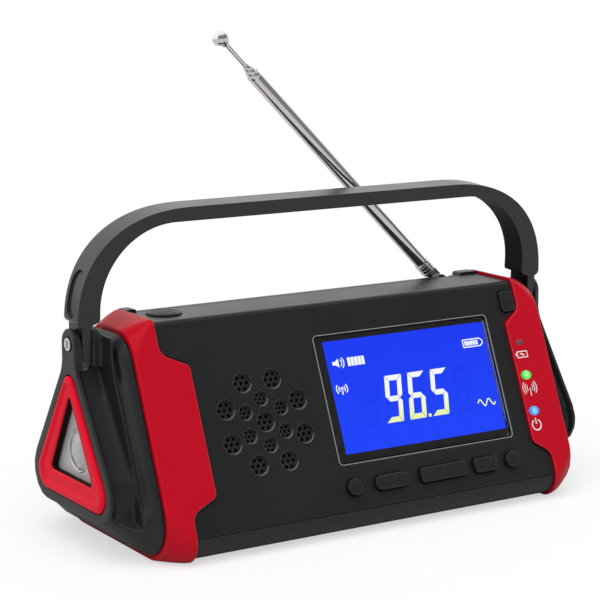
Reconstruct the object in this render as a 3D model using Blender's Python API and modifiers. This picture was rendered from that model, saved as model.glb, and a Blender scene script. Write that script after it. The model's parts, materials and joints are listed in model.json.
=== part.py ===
"""Hand-crank emergency radio with a torch, a display, a folding antenna and a carrying handle.

Metres, +Z up. X runs along the radio, -Y is the display side, and z = 0 is the table.
"""
import math

import bmesh
import bpy
from mathutils import Matrix, Vector

# Body
OVERALL_LENGTH = 0.190
BASE_HALF_DEPTH = 0.0437
TOP_HEIGHT = 0.0748
FACE_TILT_DEG = 23.0
WALL = 0.0024
TOP_EDGE_RADIUS = 0.0020
BOTTOM_EDGE_RADIUS = 0.0070
END_EDGE_RADIUS = 0.0125
END_TOP_RADIUS = 0.0120
END_TOP_DROP = 0.0030
INNER_EDGE_RADIUS = 0.0100
SEAM_HEIGHT = 0.0090
COVER_SPLIT_Y = 0.0072
GAP = 0.0003

# Bumpers
LEFT_CAP_DEPTH = 0.0154
RIGHT_CAP_DEPTH = 0.0104
BUMPER_PROUD = 0.0010
BUMPER_INSET = 0.0012
BUMPER_CHAMFER = 0.0008
LEFT_BAND_WIDTH = 0.0474 * OVERALL_LENGTH
LEFT_TAB_WIDTH = 0.0516 * OVERALL_LENGTH
RIGHT_BAND_WIDTH = 0.0474 * OVERALL_LENGTH
RIGHT_TAB_WIDTH = 0.0358 * OVERALL_LENGTH
TAB_BOTTOM = 0.0209
TAB_TOP = 0.0609
TAB_SLOPE_RISE = 0.0042

# End caps
LEFT_CAP_BEVEL = 0.0034
RIGHT_CAP_BEVEL = 0.0016
LEFT_CAP_BEVEL_INSET = 0.0032
RIGHT_CAP_BEVEL_INSET = 0.0008
LEFT_GROOVE_WIDTH = 0.0014
LEFT_GROOVE_DEPTH = 0.0022
LEFT_GROOVE_BOTTOM = 0.0175
LEFT_GROOVE_TOP = 0.0715
CAP_SHOULDER_INSET = 0.0038
RIM_BOTTOM = 0.0123
RIM_CORNER_RADIUS = 0.0098
RIM_CORNER_Y = 0.0373
RIM_THICKNESS = 0.0016
RIGHT_RIM_LIFT = 0.0015
SCOOP_DEPTH = 0.0024
SCOOP_BOTTOM = 0.0146
SCOOP_FLOOR_DEG = 22.0
EAR_RADIUS = 0.0052
EAR_THICKNESS = 0.0025
EAR_FLARE_DROP = 0.0080
PIVOT_HEIGHT = 0.0683
PIVOT_SLOT_RADIUS = 0.0092
PIVOT_PIN_RADIUS = 0.0022
PIVOT_PIN_REACH = 0.0026
POST_HALF_WIDTH = 0.0125
POST_TOP = 0.0715
POST_EDGE = 0.0020

# Handle
HANDLE_LEAN_DEG = 4.0
HANDLE_WIDTH = 0.0102
HANDLE_RISE = 0.0430
HANDLE_BAR_THICKNESS = 0.0047
HANDLE_LEG_THICKNESS = 0.0080
HANDLE_LEG_INBOARD = 0.0010
HANDLE_OUTER_RADIUS = 0.0350
HANDLE_INNER_RADIUS = 0.0270
HANDLE_LEG_BOTTOM = 0.0064
HANDLE_TONGUE_THICKNESS = 0.0030
HANDLE_RECESS_DEPTH = 0.0007
HANDLE_RECESS_BORDER = 0.0014
HANDLE_RECESS_LENGTH = 0.0240
HANDLE_EDGE = 0.0007
HANDLE_EDGE_ANGLE_DEG = 50.0

# Triangular end frames
FRAME_APEX = 0.0605
FRAME_BASE = 0.0163
FRAME_HALF_WIDTH = 0.0293
FRAME_APEX_RADIUS = 0.0032
FRAME_CORNER_RADIUS = 0.0060
FRAME_SEAT = 0.0024
FRAME_RIDGE = 0.0009
RIDGE_START = 0.12
RIDGE_END = 0.36
PANEL_START = 0.46
PANEL_END = 0.96
OPENING_APEX = 0.0483
OPENING_BASE = 0.0246
OPENING_HALF_WIDTH = 0.0147
OPENING_RADIUS = 0.0010
REFLECTOR_THICKNESS = 0.0028
REFLECTOR_MARGIN = 0.0020
TORCH_LENS_RADIUS = 0.0070
TORCH_LENS_HEIGHT = 0.0325
TORCH_LENS_DOME = 0.0014
LENS_CURVE = ((0.0, 1.0), (0.45, 0.8), (0.8, 0.35), (1.0, -0.2))
TORCH_LED_RADIUS = 0.0078
TORCH_LED_THICKNESS = 0.0020

# Ports behind the right end cover
USB_WIDTH = 0.0130
USB_HEIGHT = 0.0056
CHARGE_WIDTH = 0.0090
CHARGE_HEIGHT = 0.0034
USB_CENTRE_HEIGHT = 0.0228
CHARGE_CENTRE_HEIGHT = 0.0323
SOCKET_WALL = 0.0004
PORT_BOARD_WIDTH = 0.0260
PORT_BOARD_HEIGHT = 0.0240
BOARD_THICKNESS = 0.0016

# Display
DISPLAY_X = 0.1284 * OVERALL_LENGTH
DISPLAY_S = 0.04785
DISPLAY_WIDTH = 0.3853 * OVERALL_LENGTH
DISPLAY_HEIGHT = 0.0449
DISPLAY_RADIUS = 0.0016
DISPLAY_FRAME_WIDTH = 0.0005
DISPLAY_LEDGE = 0.0019
WINDOW_THICKNESS = 0.0012
LCD_MARGIN = 0.0011
LCD_THICKNESS = 0.0036

# Buttons
BUTTON_ROW_S = 0.0176
BUTTON_PROUD = 0.0018
BUTTON_FLANGE = 0.0009
BUTTON_FLANGE_THICKNESS = 0.0008
BUTTON_HEIGHT = 0.0052
SWITCH_TRAVEL = 0.0008
ROUND_BUTTON_DIAMETER = 0.0058
MEMORY_BUTTON_X = -0.0458 * OVERALL_LENGTH
TUNING_BUTTON_X = 0.0342 * OVERALL_LENGTH
TUNING_BUTTON_WIDTH = 0.0140
VOLUME_BUTTON_X = 0.1463 * OVERALL_LENGTH
VOLUME_BUTTON_WIDTH = 0.0194
BAND_BUTTON_X = 0.2416 * OVERALL_LENGTH
BAND_BUTTON_WIDTH = 0.0098
POWER_BUTTON_X = 0.3032 * OVERALL_LENGTH
BUTTON_CORNER = 0.0012
ALARM_FROM_BAND = 0.0040
ALARM_BUTTON_X = OVERALL_LENGTH / 2 - RIGHT_CAP_DEPTH - RIGHT_BAND_WIDTH - ALARM_FROM_BAND
ALARM_BUTTON_S = 0.0739
ALARM_BUTTON_WIDTH = 0.0058
ALARM_BUTTON_HEIGHT = 0.0076
ALARM_BUTTON_PROUD = 0.0010
TORCH_BUTTON_X = -0.3158 * OVERALL_LENGTH
TORCH_BUTTON_Y = -0.0004
TORCH_BUTTON_RADIUS = 0.0059
TORCH_BUTTON_PROUD = 0.0008

# Indicator lights in the right bumper
INDICATOR_FROM_BAND = 0.0030
INDICATOR_X = OVERALL_LENGTH / 2 - RIGHT_CAP_DEPTH - RIGHT_BAND_WIDTH - INDICATOR_FROM_BAND
INDICATOR_LENGTH = 0.0036
INDICATOR_HEIGHT = 0.0020
CHARGE_LIGHT_S = 0.0584
SIGNAL_LIGHT_S = 0.0464
POWER_LIGHT_S = 0.0333
INDICATOR_DEPTH = 0.0034

# Loudspeaker
SPEAKER_X = -0.1926 * OVERALL_LENGTH
SPEAKER_S = 0.0439
OUTER_RING_RADIUS = 0.0150
OUTER_RING_COUNT = 8
INNER_RING_RADIUS = 0.0079
INNER_RING_COUNT = 6
LARGE_DIMPLE_RADIUS = 0.0035
SMALL_DIMPLE_RADIUS = 0.0027
DIMPLE_DEPTH = 0.0010
SOUND_HOLE_COUNT = 6
SOUND_HOLE_SHARE = 0.22
SOUND_HOLE_RING_SHARE = 0.62
SPEAKER_RADIUS = 0.0200
SPEAKER_RIM = 0.0022
SPEAKER_DEPTH = 0.0130
MAGNET_RADIUS = 0.0110
MAGNET_DEPTH = 0.0050
CONE_THICKNESS = 0.0006

# Electronics
BOARD_FROM_SPEAKER = 0.0016
BOARD_LEFT = SPEAKER_X + SPEAKER_RADIUS + BOARD_FROM_SPEAKER
BOARD_RIGHT = 0.3263 * OVERALL_LENGTH
BOARD_BOTTOM_S = 0.0123
BOARD_TOP_S = 0.0715
BATTERY_RADIUS = 0.0092
BATTERY_LENGTH = 0.0650
BATTERY_X = -0.1474 * OVERALL_LENGTH
BATTERY_Y = 0.0060

# Solar panel on the rear face
SOLAR_X = -0.1132 * OVERALL_LENGTH
SOLAR_S = 0.0415
SOLAR_WIDTH = 0.3790 * OVERALL_LENGTH
SOLAR_HEIGHT = 0.0520
SOLAR_THICKNESS = 0.0014

# Crank on the rear face
CRANK_X = 0.2263 * OVERALL_LENGTH
CRANK_S = 0.0410
CRANK_RADIUS = 0.0208
CRANK_THICKNESS = 0.0060
CRANK_SHAFT_RADIUS = 0.0030
KNOB_WIDTH = 0.0070
KNOB_LENGTH = 0.0190
KNOB_PIVOT_RADIUS = 0.0110
KNOB_PIN_RADIUS = 0.0011
GEAR_MODULE = 0.0008
GEAR_TEETH = 36
PINION_TEETH = 12
GEAR_THICKNESS = 0.0030
TOOTH_SHARE = 0.40
TOOTH_ROOT_DEPTH = 1.25
TOOTH_ROOT_SHARE = 1.5
TOOTH_TIP_SHARE = 0.45
GEAR_PLATE_THICKNESS = 0.0012
GEAR_POST_RADIUS = 0.0018
GEAR_POST_COUNT = 6
DYNAMO_RADIUS = 0.0100
DYNAMO_LENGTH = 0.0120
DYNAMO_SHAFT_RADIUS = 0.0015

# Antenna
ANTENNA_X = 0.3226 * OVERALL_LENGTH
ANTENNA_Y = 0.0130
ANTENNA_PIVOT_HEIGHT = 0.0728
ANTENNA_RAISE_DEG = 45.0
GROOVE_LEFT = -0.3474 * OVERALL_LENGTH
GROOVE_RIGHT = 0.3553 * OVERALL_LENGTH
GROOVE_FLOOR = 0.0681
GROOVE_WALL_Y = 0.0098
SHOULDER_RISE = 0.0010
SHOULDER_LENGTH = 0.0081
SWIVEL_RADIUS = 0.0042
SWIVEL_THICKNESS = 0.0016
SWIVEL_STEM_RADIUS = 0.0014
KNUCKLE_THICKNESS = 0.0026
FORK_EAR_THICKNESS = 0.0013
FORK_EAR_RADIUS = 0.0026
ANTENNA_PIN_RADIUS = 0.0009
FERRULE_START = 0.0052
FERRULE_END = 0.0105
FERRULE_RADIUS = 0.0029
TUBE_RADIUS = 0.0025
TUBE_STEP = 0.00055
TUBE_WALL = 0.0004
TUBE_END = 0.5858 * OVERALL_LENGTH
TUBE_LIP = 0.0018
TUBE_COUNT = 3
ROD_RADIUS = 0.00085
ROD_PULLED_OUT = 0.0104
TIP_RADIUS = 0.0030
TIP_LENGTH = 0.0058
TIP_CURVE = ((0.0, 0.0), (0.55, 0.12), (0.92, 0.40), (1.0, 0.75))
TIP_NECK_SHARE = 1.6

# Fasteners
SCREW_HEAD_RADIUS = 0.0026
SCREW_HEAD_HEIGHT = 0.0014
SCREW_RADIUS = 0.0014
SCREW_LENGTH = 0.0110
SCREW_BOSS_RADIUS = 0.0032
SCREW_RIB = 0.0016
SCREW_Y = -0.0298
SCREW_LEFT_X = -0.2632 * OVERALL_LENGTH
SCREW_RIGHT_X = 0.3516 * OVERALL_LENGTH

# Facets
ARC_STEPS = 5
ROUND_STEPS = 20
SMALL_ROUND_STEPS = 12
HOLE_STEPS = 5
SMALL_ARC_STEPS = 2

# Derived places
TILT = math.radians(FACE_TILT_DEG)
HALF_LENGTH = OVERALL_LENGTH / 2
UNDERSIDE = BUMPER_PROUD
SHELL_LEFT = -HALF_LENGTH + LEFT_CAP_DEPTH
SHELL_RIGHT = HALF_LENGTH - RIGHT_CAP_DEPTH
EAR_TOP = PIVOT_HEIGHT + EAR_RADIUS
CLEAR = 1.0
BEHIND_WALL = -WALL - GAP
SEAT_REACH = BUMPER_PROUD + END_EDGE_RADIUS

FRONT = Matrix((
    (1, 0, 0, 0),
    (0, math.sin(TILT), -math.cos(TILT), -BASE_HALF_DEPTH),
    (0, math.cos(TILT), math.sin(TILT), 0),
    (0, 0, 0, 1),
))
REAR = Matrix((
    (-1, 0, 0, 0),
    (0, -math.sin(TILT), math.cos(TILT), BASE_HALF_DEPTH),
    (0, math.cos(TILT), math.sin(TILT), 0),
    (0, 0, 0, 1),
))
SECTION = Matrix(((0, 0, 1, 0), (1, 0, 0, 0), (0, 1, 0, 0), (0, 0, 0, 1)))
SIDE_VIEW = Matrix(((1, 0, 0, 0), (0, 0, -1, 0), (0, 1, 0, 0), (0, 0, 0, 1)))


def shift(x, y, z):
    return Matrix.Translation((x, y, z))


# Scene and materials
for old in list(bpy.data.objects):
    bpy.data.objects.remove(old)
parts = bpy.data.collections.new("emergency_radio")
cutters = bpy.data.collections.new("cutters")
for collection in (parts, cutters):
    bpy.context.scene.collection.children.link(collection)


def material(name, colour, roughness, metallic=0.0):
    made = bpy.data.materials.get(name)
    if made is None:
        made = bpy.data.materials.new(name)
        made.use_nodes = True
        shader = made.node_tree.nodes["Principled BSDF"]
        shader.inputs["Base Color"].default_value = (*colour, 1)
        shader.inputs["Roughness"].default_value = roughness
        shader.inputs["Metallic"].default_value = metallic
    return made


BLACK = material("black_abs", (0.022, 0.022, 0.021), 0.55)
GREY = material("dark_grey_abs", (0.040, 0.041, 0.042), 0.5)
RED = material("red_abs", (0.55, 0.008, 0.018), 0.4)
CHROME = material("chrome", (0.75, 0.75, 0.76), 0.12, 1.0)
STEEL = material("steel", (0.55, 0.55, 0.56), 0.35, 1.0)
CLEAR_PLASTIC = material("clear_plastic", (0.80, 0.82, 0.84), 0.05)
GLASS_BLACK = material("display_glass", (0.02, 0.02, 0.03), 0.08)
BLUE = material("display_blue", (0.005, 0.04, 0.9), 0.3)
BOARD_GREEN = material("board_green", (0.02, 0.14, 0.05), 0.5)
SOLAR_BLUE = material("solar_cell", (0.010, 0.014, 0.05), 0.15)
PAPER = material("speaker_paper", (0.03, 0.03, 0.03), 0.9)
WRAP = material("battery_wrap", (0.02, 0.16, 0.28), 0.4)
BRASS = material("brass", (0.70, 0.50, 0.20), 0.3, 1.0)
NYLON = material("white_nylon", (0.75, 0.74, 0.70), 0.5)


# Outlines
def rounded(corners, steps=ARC_STEPS):
    """Closed outline through (a, b, radius) corners, with each radius drawn as an arc."""
    outline = []
    for index, (a, b, radius) in enumerate(corners):
        point = Vector((a, b))
        before = (Vector(corners[index - 1][:2]) - point).normalized()
        after = (Vector(corners[(index + 1) % len(corners)][:2]) - point).normalized()
        if radius <= 0:
            outline.append((a, b))
            continue
        inside = before.angle(after)
        start = point + before * (radius / math.tan(inside / 2))
        centre = point + (before + after).normalized() * (radius / math.sin(inside / 2))
        turn = math.copysign(math.pi - inside, after.x * before.y - after.y * before.x)
        for step in range(steps + 1):
            angle = turn * step / steps
            spoke = start - centre
            outline.append((
                centre.x + spoke.x * math.cos(angle) - spoke.y * math.sin(angle),
                centre.y + spoke.x * math.sin(angle) + spoke.y * math.cos(angle),
            ))
    return outline


def rectangle(width, height, radius=0.0, centre=(0.0, 0.0)):
    a, b = centre
    return rounded([
        (a - width / 2, b - height / 2, radius),
        (a + width / 2, b - height / 2, radius),
        (a + width / 2, b + height / 2, radius),
        (a - width / 2, b + height / 2, radius),
    ], SMALL_ARC_STEPS)


def circle(radius, steps=ROUND_STEPS, centre=(0.0, 0.0), phase=0.0):
    angles = [2 * math.pi * (step + phase) / steps for step in range(steps)]
    return [(centre[0] + radius * math.cos(t), centre[1] + radius * math.sin(t)) for t in angles]


def half_depth(height, offset=0.0):
    """Distance from the middle plane to a slanted face at this height."""
    return BASE_HALF_DEPTH - height * math.tan(TILT) + offset / math.cos(TILT)


def body_section(offset, edge_radius, crown_radius=TOP_EDGE_RADIUS, top_drop=0.0):
    """The radio's end-on outline, moved outwards by the offset."""
    bottom = UNDERSIDE - offset
    top = TOP_HEIGHT - top_drop + offset
    bottom_radius = max(edge_radius + offset, GAP)
    top_radius = max(crown_radius + offset, GAP)
    return rounded([
        (-half_depth(bottom, offset), bottom, bottom_radius),
        (half_depth(bottom, offset), bottom, bottom_radius),
        (half_depth(top, offset), top, top_radius),
        (-half_depth(top, offset), top, top_radius),
    ])


def triangle(apex, base, half_width, apex_radius, corner_radius):
    return rounded([
        (-half_width, base, corner_radius),
        (half_width, base, corner_radius),
        (0.0, apex, apex_radius),
    ])


def frame_triangle(offset=0.0):
    """Outline of the triangular end frame, moved outwards by the offset."""
    slope = math.atan2(FRAME_HALF_WIDTH, FRAME_APEX - FRAME_BASE)
    base = FRAME_BASE - offset
    apex = FRAME_APEX + offset / math.sin(slope)
    half_width = (apex - base) * math.tan(slope)
    return triangle(apex, base, half_width, FRAME_APEX_RADIUS + offset, FRAME_CORNER_RADIUS + offset)


def opening_triangle():
    return triangle(OPENING_APEX, OPENING_BASE, OPENING_HALF_WIDTH, OPENING_RADIUS, OPENING_RADIUS)


# Solids
def register(name, mesh, frame, surface, collection):
    made = bpy.data.objects.new(name, mesh)
    made.matrix_world = frame
    collection.objects.link(made)
    if collection is cutters:
        made.hide_render = True
        made.display_type = "WIRE"
    else:
        mesh.materials.clear()
        mesh.materials.append(surface)
    return made


def plate(name, outlines, low, high, frame, surface=None, collection=parts):
    """Flat outline, with holes, filled between two levels along the frame's own Z."""
    data = bpy.data.curves.new(name, "CURVE")
    data.dimensions = "2D"
    data.fill_mode = "BOTH"
    data.extrude = (high - low) / 2
    for outline in outlines:
        spline = data.splines.new("POLY")
        spline.points.add(len(outline) - 1)
        for point, (a, b) in zip(spline.points, outline):
            point.co = (a, b, 0, 1)
        spline.use_cyclic_u = True
    drawing = bpy.data.objects.new(name, data)
    bpy.context.scene.collection.objects.link(drawing)
    depsgraph = bpy.context.evaluated_depsgraph_get()
    mesh = bpy.data.meshes.new_from_object(drawing.evaluated_get(depsgraph))
    bpy.data.objects.remove(drawing)
    bpy.data.curves.remove(data)
    welded = bmesh.new()
    welded.from_mesh(mesh)
    bmesh.ops.remove_doubles(welded, verts=welded.verts, dist=GAP / 100)
    bmesh.ops.translate(welded, verts=welded.verts, vec=(0, 0, (low + high) / 2))
    bmesh.ops.recalc_face_normals(welded, faces=welded.faces)
    welded.to_mesh(mesh)
    welded.free()
    mesh.name = name
    return register(name, mesh, frame, surface, collection)


def cylinders(name, places, radius, low, high, frame, surface=None, collection=parts, steps=ROUND_STEPS):
    """Equal round bars standing on the frame's own Z at the given places."""
    solid = bmesh.new()
    for a, b in places:
        bmesh.ops.create_cone(
            solid, cap_ends=True, segments=steps, radius1=radius, radius2=radius, depth=high - low,
            matrix=shift(a, b, (low + high) / 2),
        )
    mesh = bpy.data.meshes.new(name)
    solid.to_mesh(mesh)
    solid.free()
    return register(name, mesh, frame, surface, collection)


def cylinder(name, radius, low, high, frame, surface=None, collection=parts, steps=ROUND_STEPS):
    return cylinders(name, [(0, 0)], radius, low, high, frame, surface, collection, steps)


def box(name, low, high, collection=cutters, surface=None):
    """Box between two corners."""
    solid = bmesh.new()
    size = Vector(high) - Vector(low)
    centre = (Vector(high) + Vector(low)) / 2
    bmesh.ops.create_cube(solid, size=1, matrix=Matrix.Translation(centre) @ Matrix.Diagonal((*size, 1)))
    mesh = bpy.data.meshes.new(name)
    solid.to_mesh(mesh)
    solid.free()
    return register(name, mesh, Matrix(), surface, collection)


def turned(name, profile, frame, surface=None, collection=parts, steps=ROUND_STEPS, closed=False):
    """Profile of (radius, height) points, outer side from top to bottom, spun about the frame's Z."""
    mesh = bpy.data.meshes.new(name)
    count = len(profile)
    edges = [(index, index + 1) for index in range(count - 1)]
    if closed:
        edges.append((count - 1, 0))
    mesh.from_pydata([(radius, 0, height) for radius, height in profile], edges, [])
    made = register(name, mesh, frame, surface, collection)
    spin = made.modifiers.new("spin", "SCREW")
    spin.steps = steps
    spin.render_steps = steps
    spin.use_merge_vertices = True
    spin.merge_threshold = GAP / 100
    return made


def bridged(name, loops, frame, surface=None, collection=parts, ring=False):
    """Skin over matching loops: a ring closes on itself, otherwise both ends are capped."""
    solid = bmesh.new()
    rows = [[solid.verts.new(point) for point in loop] for loop in loops]
    pairs = list(zip(rows, rows[1:]))
    if ring:
        pairs.append((rows[-1], rows[0]))
    for first, second in pairs:
        count = len(first)
        for index in range(count):
            after = (index + 1) % count
            solid.faces.new((first[index], first[after], second[after], second[index]))
    bmesh.ops.triangulate(solid, faces=solid.faces)
    if not ring:
        solid.faces.new(rows[0])
        solid.faces.new(rows[-1])
    bmesh.ops.recalc_face_normals(solid, faces=solid.faces)
    mesh = bpy.data.meshes.new(name)
    solid.to_mesh(mesh)
    solid.free()
    return register(name, mesh, frame, surface, collection)


def boolean(target, tool, operation="DIFFERENCE"):
    step = target.modifiers.new(tool.name, "BOOLEAN")
    step.operation = operation
    step.object = tool
    step.solver = "EXACT"
    return target


def smooth(made, angle_deg=35):
    made.data.shade_smooth()
    made.data.set_sharp_from_angle(angle=math.radians(angle_deg))
    return made


# Bumpers
def bumper_sizes(side):
    """Where one bumper ends, and the widths of its band and its tab."""
    if side < 0:
        return SHELL_LEFT, LEFT_BAND_WIDTH, LEFT_TAB_WIDTH
    return SHELL_RIGHT, RIGHT_BAND_WIDTH, RIGHT_TAB_WIDTH


def bumper_outline(side, grow):
    """Side view of one bumper: a band round the end with a tab on the slanted face."""
    end, band, tab = bumper_sizes(side)
    outer = -grow
    band_edge = band + grow
    tab_edge = band + tab + grow
    low, high = -CLEAR, CLEAR
    soft = TAB_SLOPE_RISE
    profile = [
        (outer, low, 0),
        (band_edge, low, 0),
        (band_edge, TAB_BOTTOM - TAB_SLOPE_RISE - grow, soft),
        (tab_edge, TAB_BOTTOM - grow, soft / 2),
        (tab_edge, TAB_TOP + grow, soft / 2),
        (band_edge, TAB_TOP + TAB_SLOPE_RISE + grow, soft),
        (band_edge, high, 0),
        (outer, high, 0),
    ]
    return rounded([(end - side * across, height, radius) for across, height, radius in profile])


def bumper_solid(name, side, grow, surface, collection):
    """Ring of the body section whose top drops and whose edges grow rounder towards the radio's end."""
    end, band, tab = bumper_sizes(side)
    skin_out = SEAT_REACH if grow else BUMPER_PROUD
    skin_in = -BUMPER_INSET - grow
    stations = (
        (end - side * (band + tab + WALL), 0.0, BOTTOM_EDGE_RADIUS, TOP_EDGE_RADIUS, 0.0),
        (end - side * band, 0.0, BOTTOM_EDGE_RADIUS, TOP_EDGE_RADIUS, 0.0),
        (end - side * BUMPER_CHAMFER, 0.0, END_EDGE_RADIUS, END_TOP_RADIUS, END_TOP_DROP),
        (end + side * grow, BUMPER_CHAMFER, END_EDGE_RADIUS, END_TOP_RADIUS, END_TOP_DROP),
    )
    outside = []
    inside = []
    for x, cut, *shape in stations:
        outside.append([(x, a, b) for a, b in body_section(skin_out - cut, *shape)])
        inside.insert(0, [(x, a, b) for a, b in body_section(skin_in, *shape)])
    made = bridged(name, outside + inside, Matrix(), surface, collection, True)
    reach = plate(name + "_reach", [bumper_outline(side, grow)], -CLEAR, CLEAR, SIDE_VIEW, None, cutters)
    return boolean(made, reach, "INTERSECT")


left_bumper = bumper_solid("left_bumper", -1, 0.0, RED, parts)
right_bumper = bumper_solid("right_bumper", 1, 0.0, RED, parts)
bumper_seats = [
    bumper_solid("left_bumper_seat", -1, GAP, None, cutters),
    bumper_solid("right_bumper_seat", 1, GAP, None, cutters),
]


# Covers
def shell(name):
    skins = [body_section(0.0, BOTTOM_EDGE_RADIUS), body_section(-WALL, INNER_EDGE_RADIUS + WALL)]
    return plate(name, skins, SHELL_LEFT, SHELL_RIGHT, SECTION, BLACK)


front_cover = shell("front_cover")
boolean(front_cover, box("below_seam", (-CLEAR, -CLEAR, -CLEAR), (CLEAR, CLEAR, SEAM_HEIGHT + GAP / 2)))
boolean(front_cover, box("behind_split", (-CLEAR, COVER_SPLIT_Y - GAP / 2, -CLEAR), (CLEAR, CLEAR, CLEAR)))

rear_cover = shell("rear_cover")
boolean(rear_cover, box("front_half", (-CLEAR, -CLEAR, SEAM_HEIGHT - GAP / 2),
                        (CLEAR, COVER_SPLIT_Y + GAP / 2, CLEAR)))


# Screw bosses under the front cover, and the screws that come up through the rear cover
SCREW_TOP = UNDERSIDE + WALL + SCREW_LENGTH
BOSS_TOP = SCREW_TOP + SCREW_RADIUS
for screw_name, screw_x in (("left_cover_screw", SCREW_LEFT_X), ("right_cover_screw", SCREW_RIGHT_X)):
    axis = shift(screw_x, SCREW_Y, 0)
    seat = UNDERSIDE + SCREW_HEAD_HEIGHT
    boss_low = SEAM_HEIGHT + GAP / 2
    boss = cylinder(screw_name + "_boss", SCREW_BOSS_RADIUS, boss_low, BOSS_TOP, axis, None, cutters,
                    SMALL_ROUND_STEPS)
    boolean(front_cover, boss, "UNION")
    rib = box(screw_name + "_rib", (screw_x - SCREW_RIB / 2, WALL / 2 - half_depth(BOSS_TOP), boss_low),
              (screw_x + SCREW_RIB / 2, SCREW_Y, BOSS_TOP))
    boolean(front_cover, rib, "UNION")
    boolean(front_cover, cylinder(screw_name + "_pilot", SCREW_RADIUS + GAP, 0, SCREW_TOP + GAP, axis, None,
                                  cutters, SMALL_ROUND_STEPS))
    hole = turned(screw_name + "_hole", [
        (0, SEAM_HEIGHT),
        (SCREW_RADIUS + GAP, SEAM_HEIGHT),
        (SCREW_RADIUS + GAP, seat),
        (SCREW_HEAD_RADIUS + GAP, seat),
        (SCREW_HEAD_RADIUS + GAP, -WALL),
        (0, -WALL),
    ], axis, None, cutters, SMALL_ROUND_STEPS)
    boolean(rear_cover, hole)
    smooth(turned(screw_name, [
        (0, SCREW_TOP),
        (SCREW_RADIUS, SCREW_TOP),
        (SCREW_RADIUS, seat - GAP),
        (SCREW_HEAD_RADIUS, seat - GAP),
        (SCREW_HEAD_RADIUS, UNDERSIDE),
        (0, UNDERSIDE),
    ], axis, STEEL, parts, SMALL_ROUND_STEPS))


# Antenna groove along the rear top edge, closed underneath by a solid corner
corner_section = body_section(-GAP, BOTTOM_EDGE_RADIUS)
corner_block = plate("corner_block", [corner_section], GROOVE_LEFT - WALL, GROOVE_RIGHT + WALL, SECTION, None,
                     cutters)
boolean(corner_block, box("corner_bounds", (-CLEAR, COVER_SPLIT_Y + GAP / 2, GROOVE_FLOOR - WALL),
                          (CLEAR, CLEAR, CLEAR)), "INTERSECT")
boolean(rear_cover, corner_block, "UNION")
for shoulder_name, shoulder_x, shoulder_side in (
    ("left_shoulder", GROOVE_LEFT, -1),
    ("right_shoulder", GROOVE_RIGHT, 1),
):
    shoulder_end = shoulder_x + shoulder_side * SHOULDER_LENGTH
    shoulder_low = TOP_HEIGHT - WALL / 2
    profile = rounded([
        (min(shoulder_x, shoulder_end), shoulder_low, 0),
        (max(shoulder_x, shoulder_end), shoulder_low, 0),
        (max(shoulder_x, shoulder_end), TOP_HEIGHT + SHOULDER_RISE, SHOULDER_RISE),
        (min(shoulder_x, shoulder_end), TOP_HEIGHT + SHOULDER_RISE, SHOULDER_RISE),
    ])
    ridge = plate(shoulder_name, [profile], -half_depth(TOP_HEIGHT), -COVER_SPLIT_Y - GAP, SIDE_VIEW, None,
                  cutters)
    boolean(rear_cover, ridge, "UNION")
boolean(rear_cover, box("antenna_groove", (GROOVE_LEFT, GROOVE_WALL_Y, GROOVE_FLOOR),
                        (GROOVE_RIGHT, CLEAR, CLEAR)))
swivel_axis = shift(ANTENNA_X, ANTENNA_Y, 0)
boolean(rear_cover, cylinder("swivel_pocket", SWIVEL_RADIUS + 2 * GAP, GROOVE_FLOOR, CLEAR, swivel_axis,
                             None, cutters))
boolean(rear_cover, cylinder("swivel_bore", SWIVEL_STEM_RADIUS + GAP, GROOVE_FLOOR - 2 * WALL, CLEAR,
                             swivel_axis, None, cutters, SMALL_ROUND_STEPS))

for cover in (front_cover, rear_cover):
    for seat_cutter in bumper_seats:
        boolean(cover, seat_cutter)


# Display
display_frame_place = FRONT @ shift(DISPLAY_X, DISPLAY_S, 0)
WINDOW_BACK = -WINDOW_THICKNESS - GAP
inner_width = DISPLAY_WIDTH - 2 * DISPLAY_FRAME_WIDTH
inner_height = DISPLAY_HEIGHT - 2 * DISPLAY_FRAME_WIDTH
inner_radius = DISPLAY_RADIUS - DISPLAY_FRAME_WIDTH
boolean(front_cover, plate("display_pocket", [
    rectangle(DISPLAY_WIDTH + 2 * GAP, DISPLAY_HEIGHT + 2 * GAP, DISPLAY_RADIUS),
], WINDOW_BACK - GAP, WALL, display_frame_place, None, cutters))
boolean(front_cover, plate("display_aperture", [
    rectangle(DISPLAY_WIDTH - 2 * DISPLAY_LEDGE, DISPLAY_HEIGHT - 2 * DISPLAY_LEDGE, inner_radius),
], -2 * WALL, WALL, display_frame_place, None, cutters))
plate("display_frame", [
    rectangle(DISPLAY_WIDTH, DISPLAY_HEIGHT, DISPLAY_RADIUS),
    rectangle(inner_width, inner_height, inner_radius),
], WINDOW_BACK, GAP / 2, display_frame_place, CHROME)
plate("display_window", [
    rectangle(inner_width - 2 * GAP, inner_height - 2 * GAP, inner_radius),
], WINDOW_BACK, -GAP, display_frame_place, GLASS_BLACK)
LCD_BACK = BEHIND_WALL - LCD_THICKNESS
plate("display_panel", [
    rectangle(DISPLAY_WIDTH - 2 * LCD_MARGIN, DISPLAY_HEIGHT - 2 * LCD_MARGIN, inner_radius),
], LCD_BACK, BEHIND_WALL, display_frame_place, BLUE)

BOARD_FACE = LCD_BACK - GAP
plate("main_board", [
    rectangle(BOARD_RIGHT - BOARD_LEFT, BOARD_TOP_S - BOARD_BOTTOM_S, BUTTON_CORNER,
              ((BOARD_LEFT + BOARD_RIGHT) / 2, (BOARD_BOTTOM_S + BOARD_TOP_S) / 2)),
], BOARD_FACE - BOARD_THICKNESS, BOARD_FACE, FRONT, BOARD_GREEN)


# Buttons
def grown(width, height, radius, grow):
    return rectangle(width + 2 * grow, height + 2 * grow, radius + grow)


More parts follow.
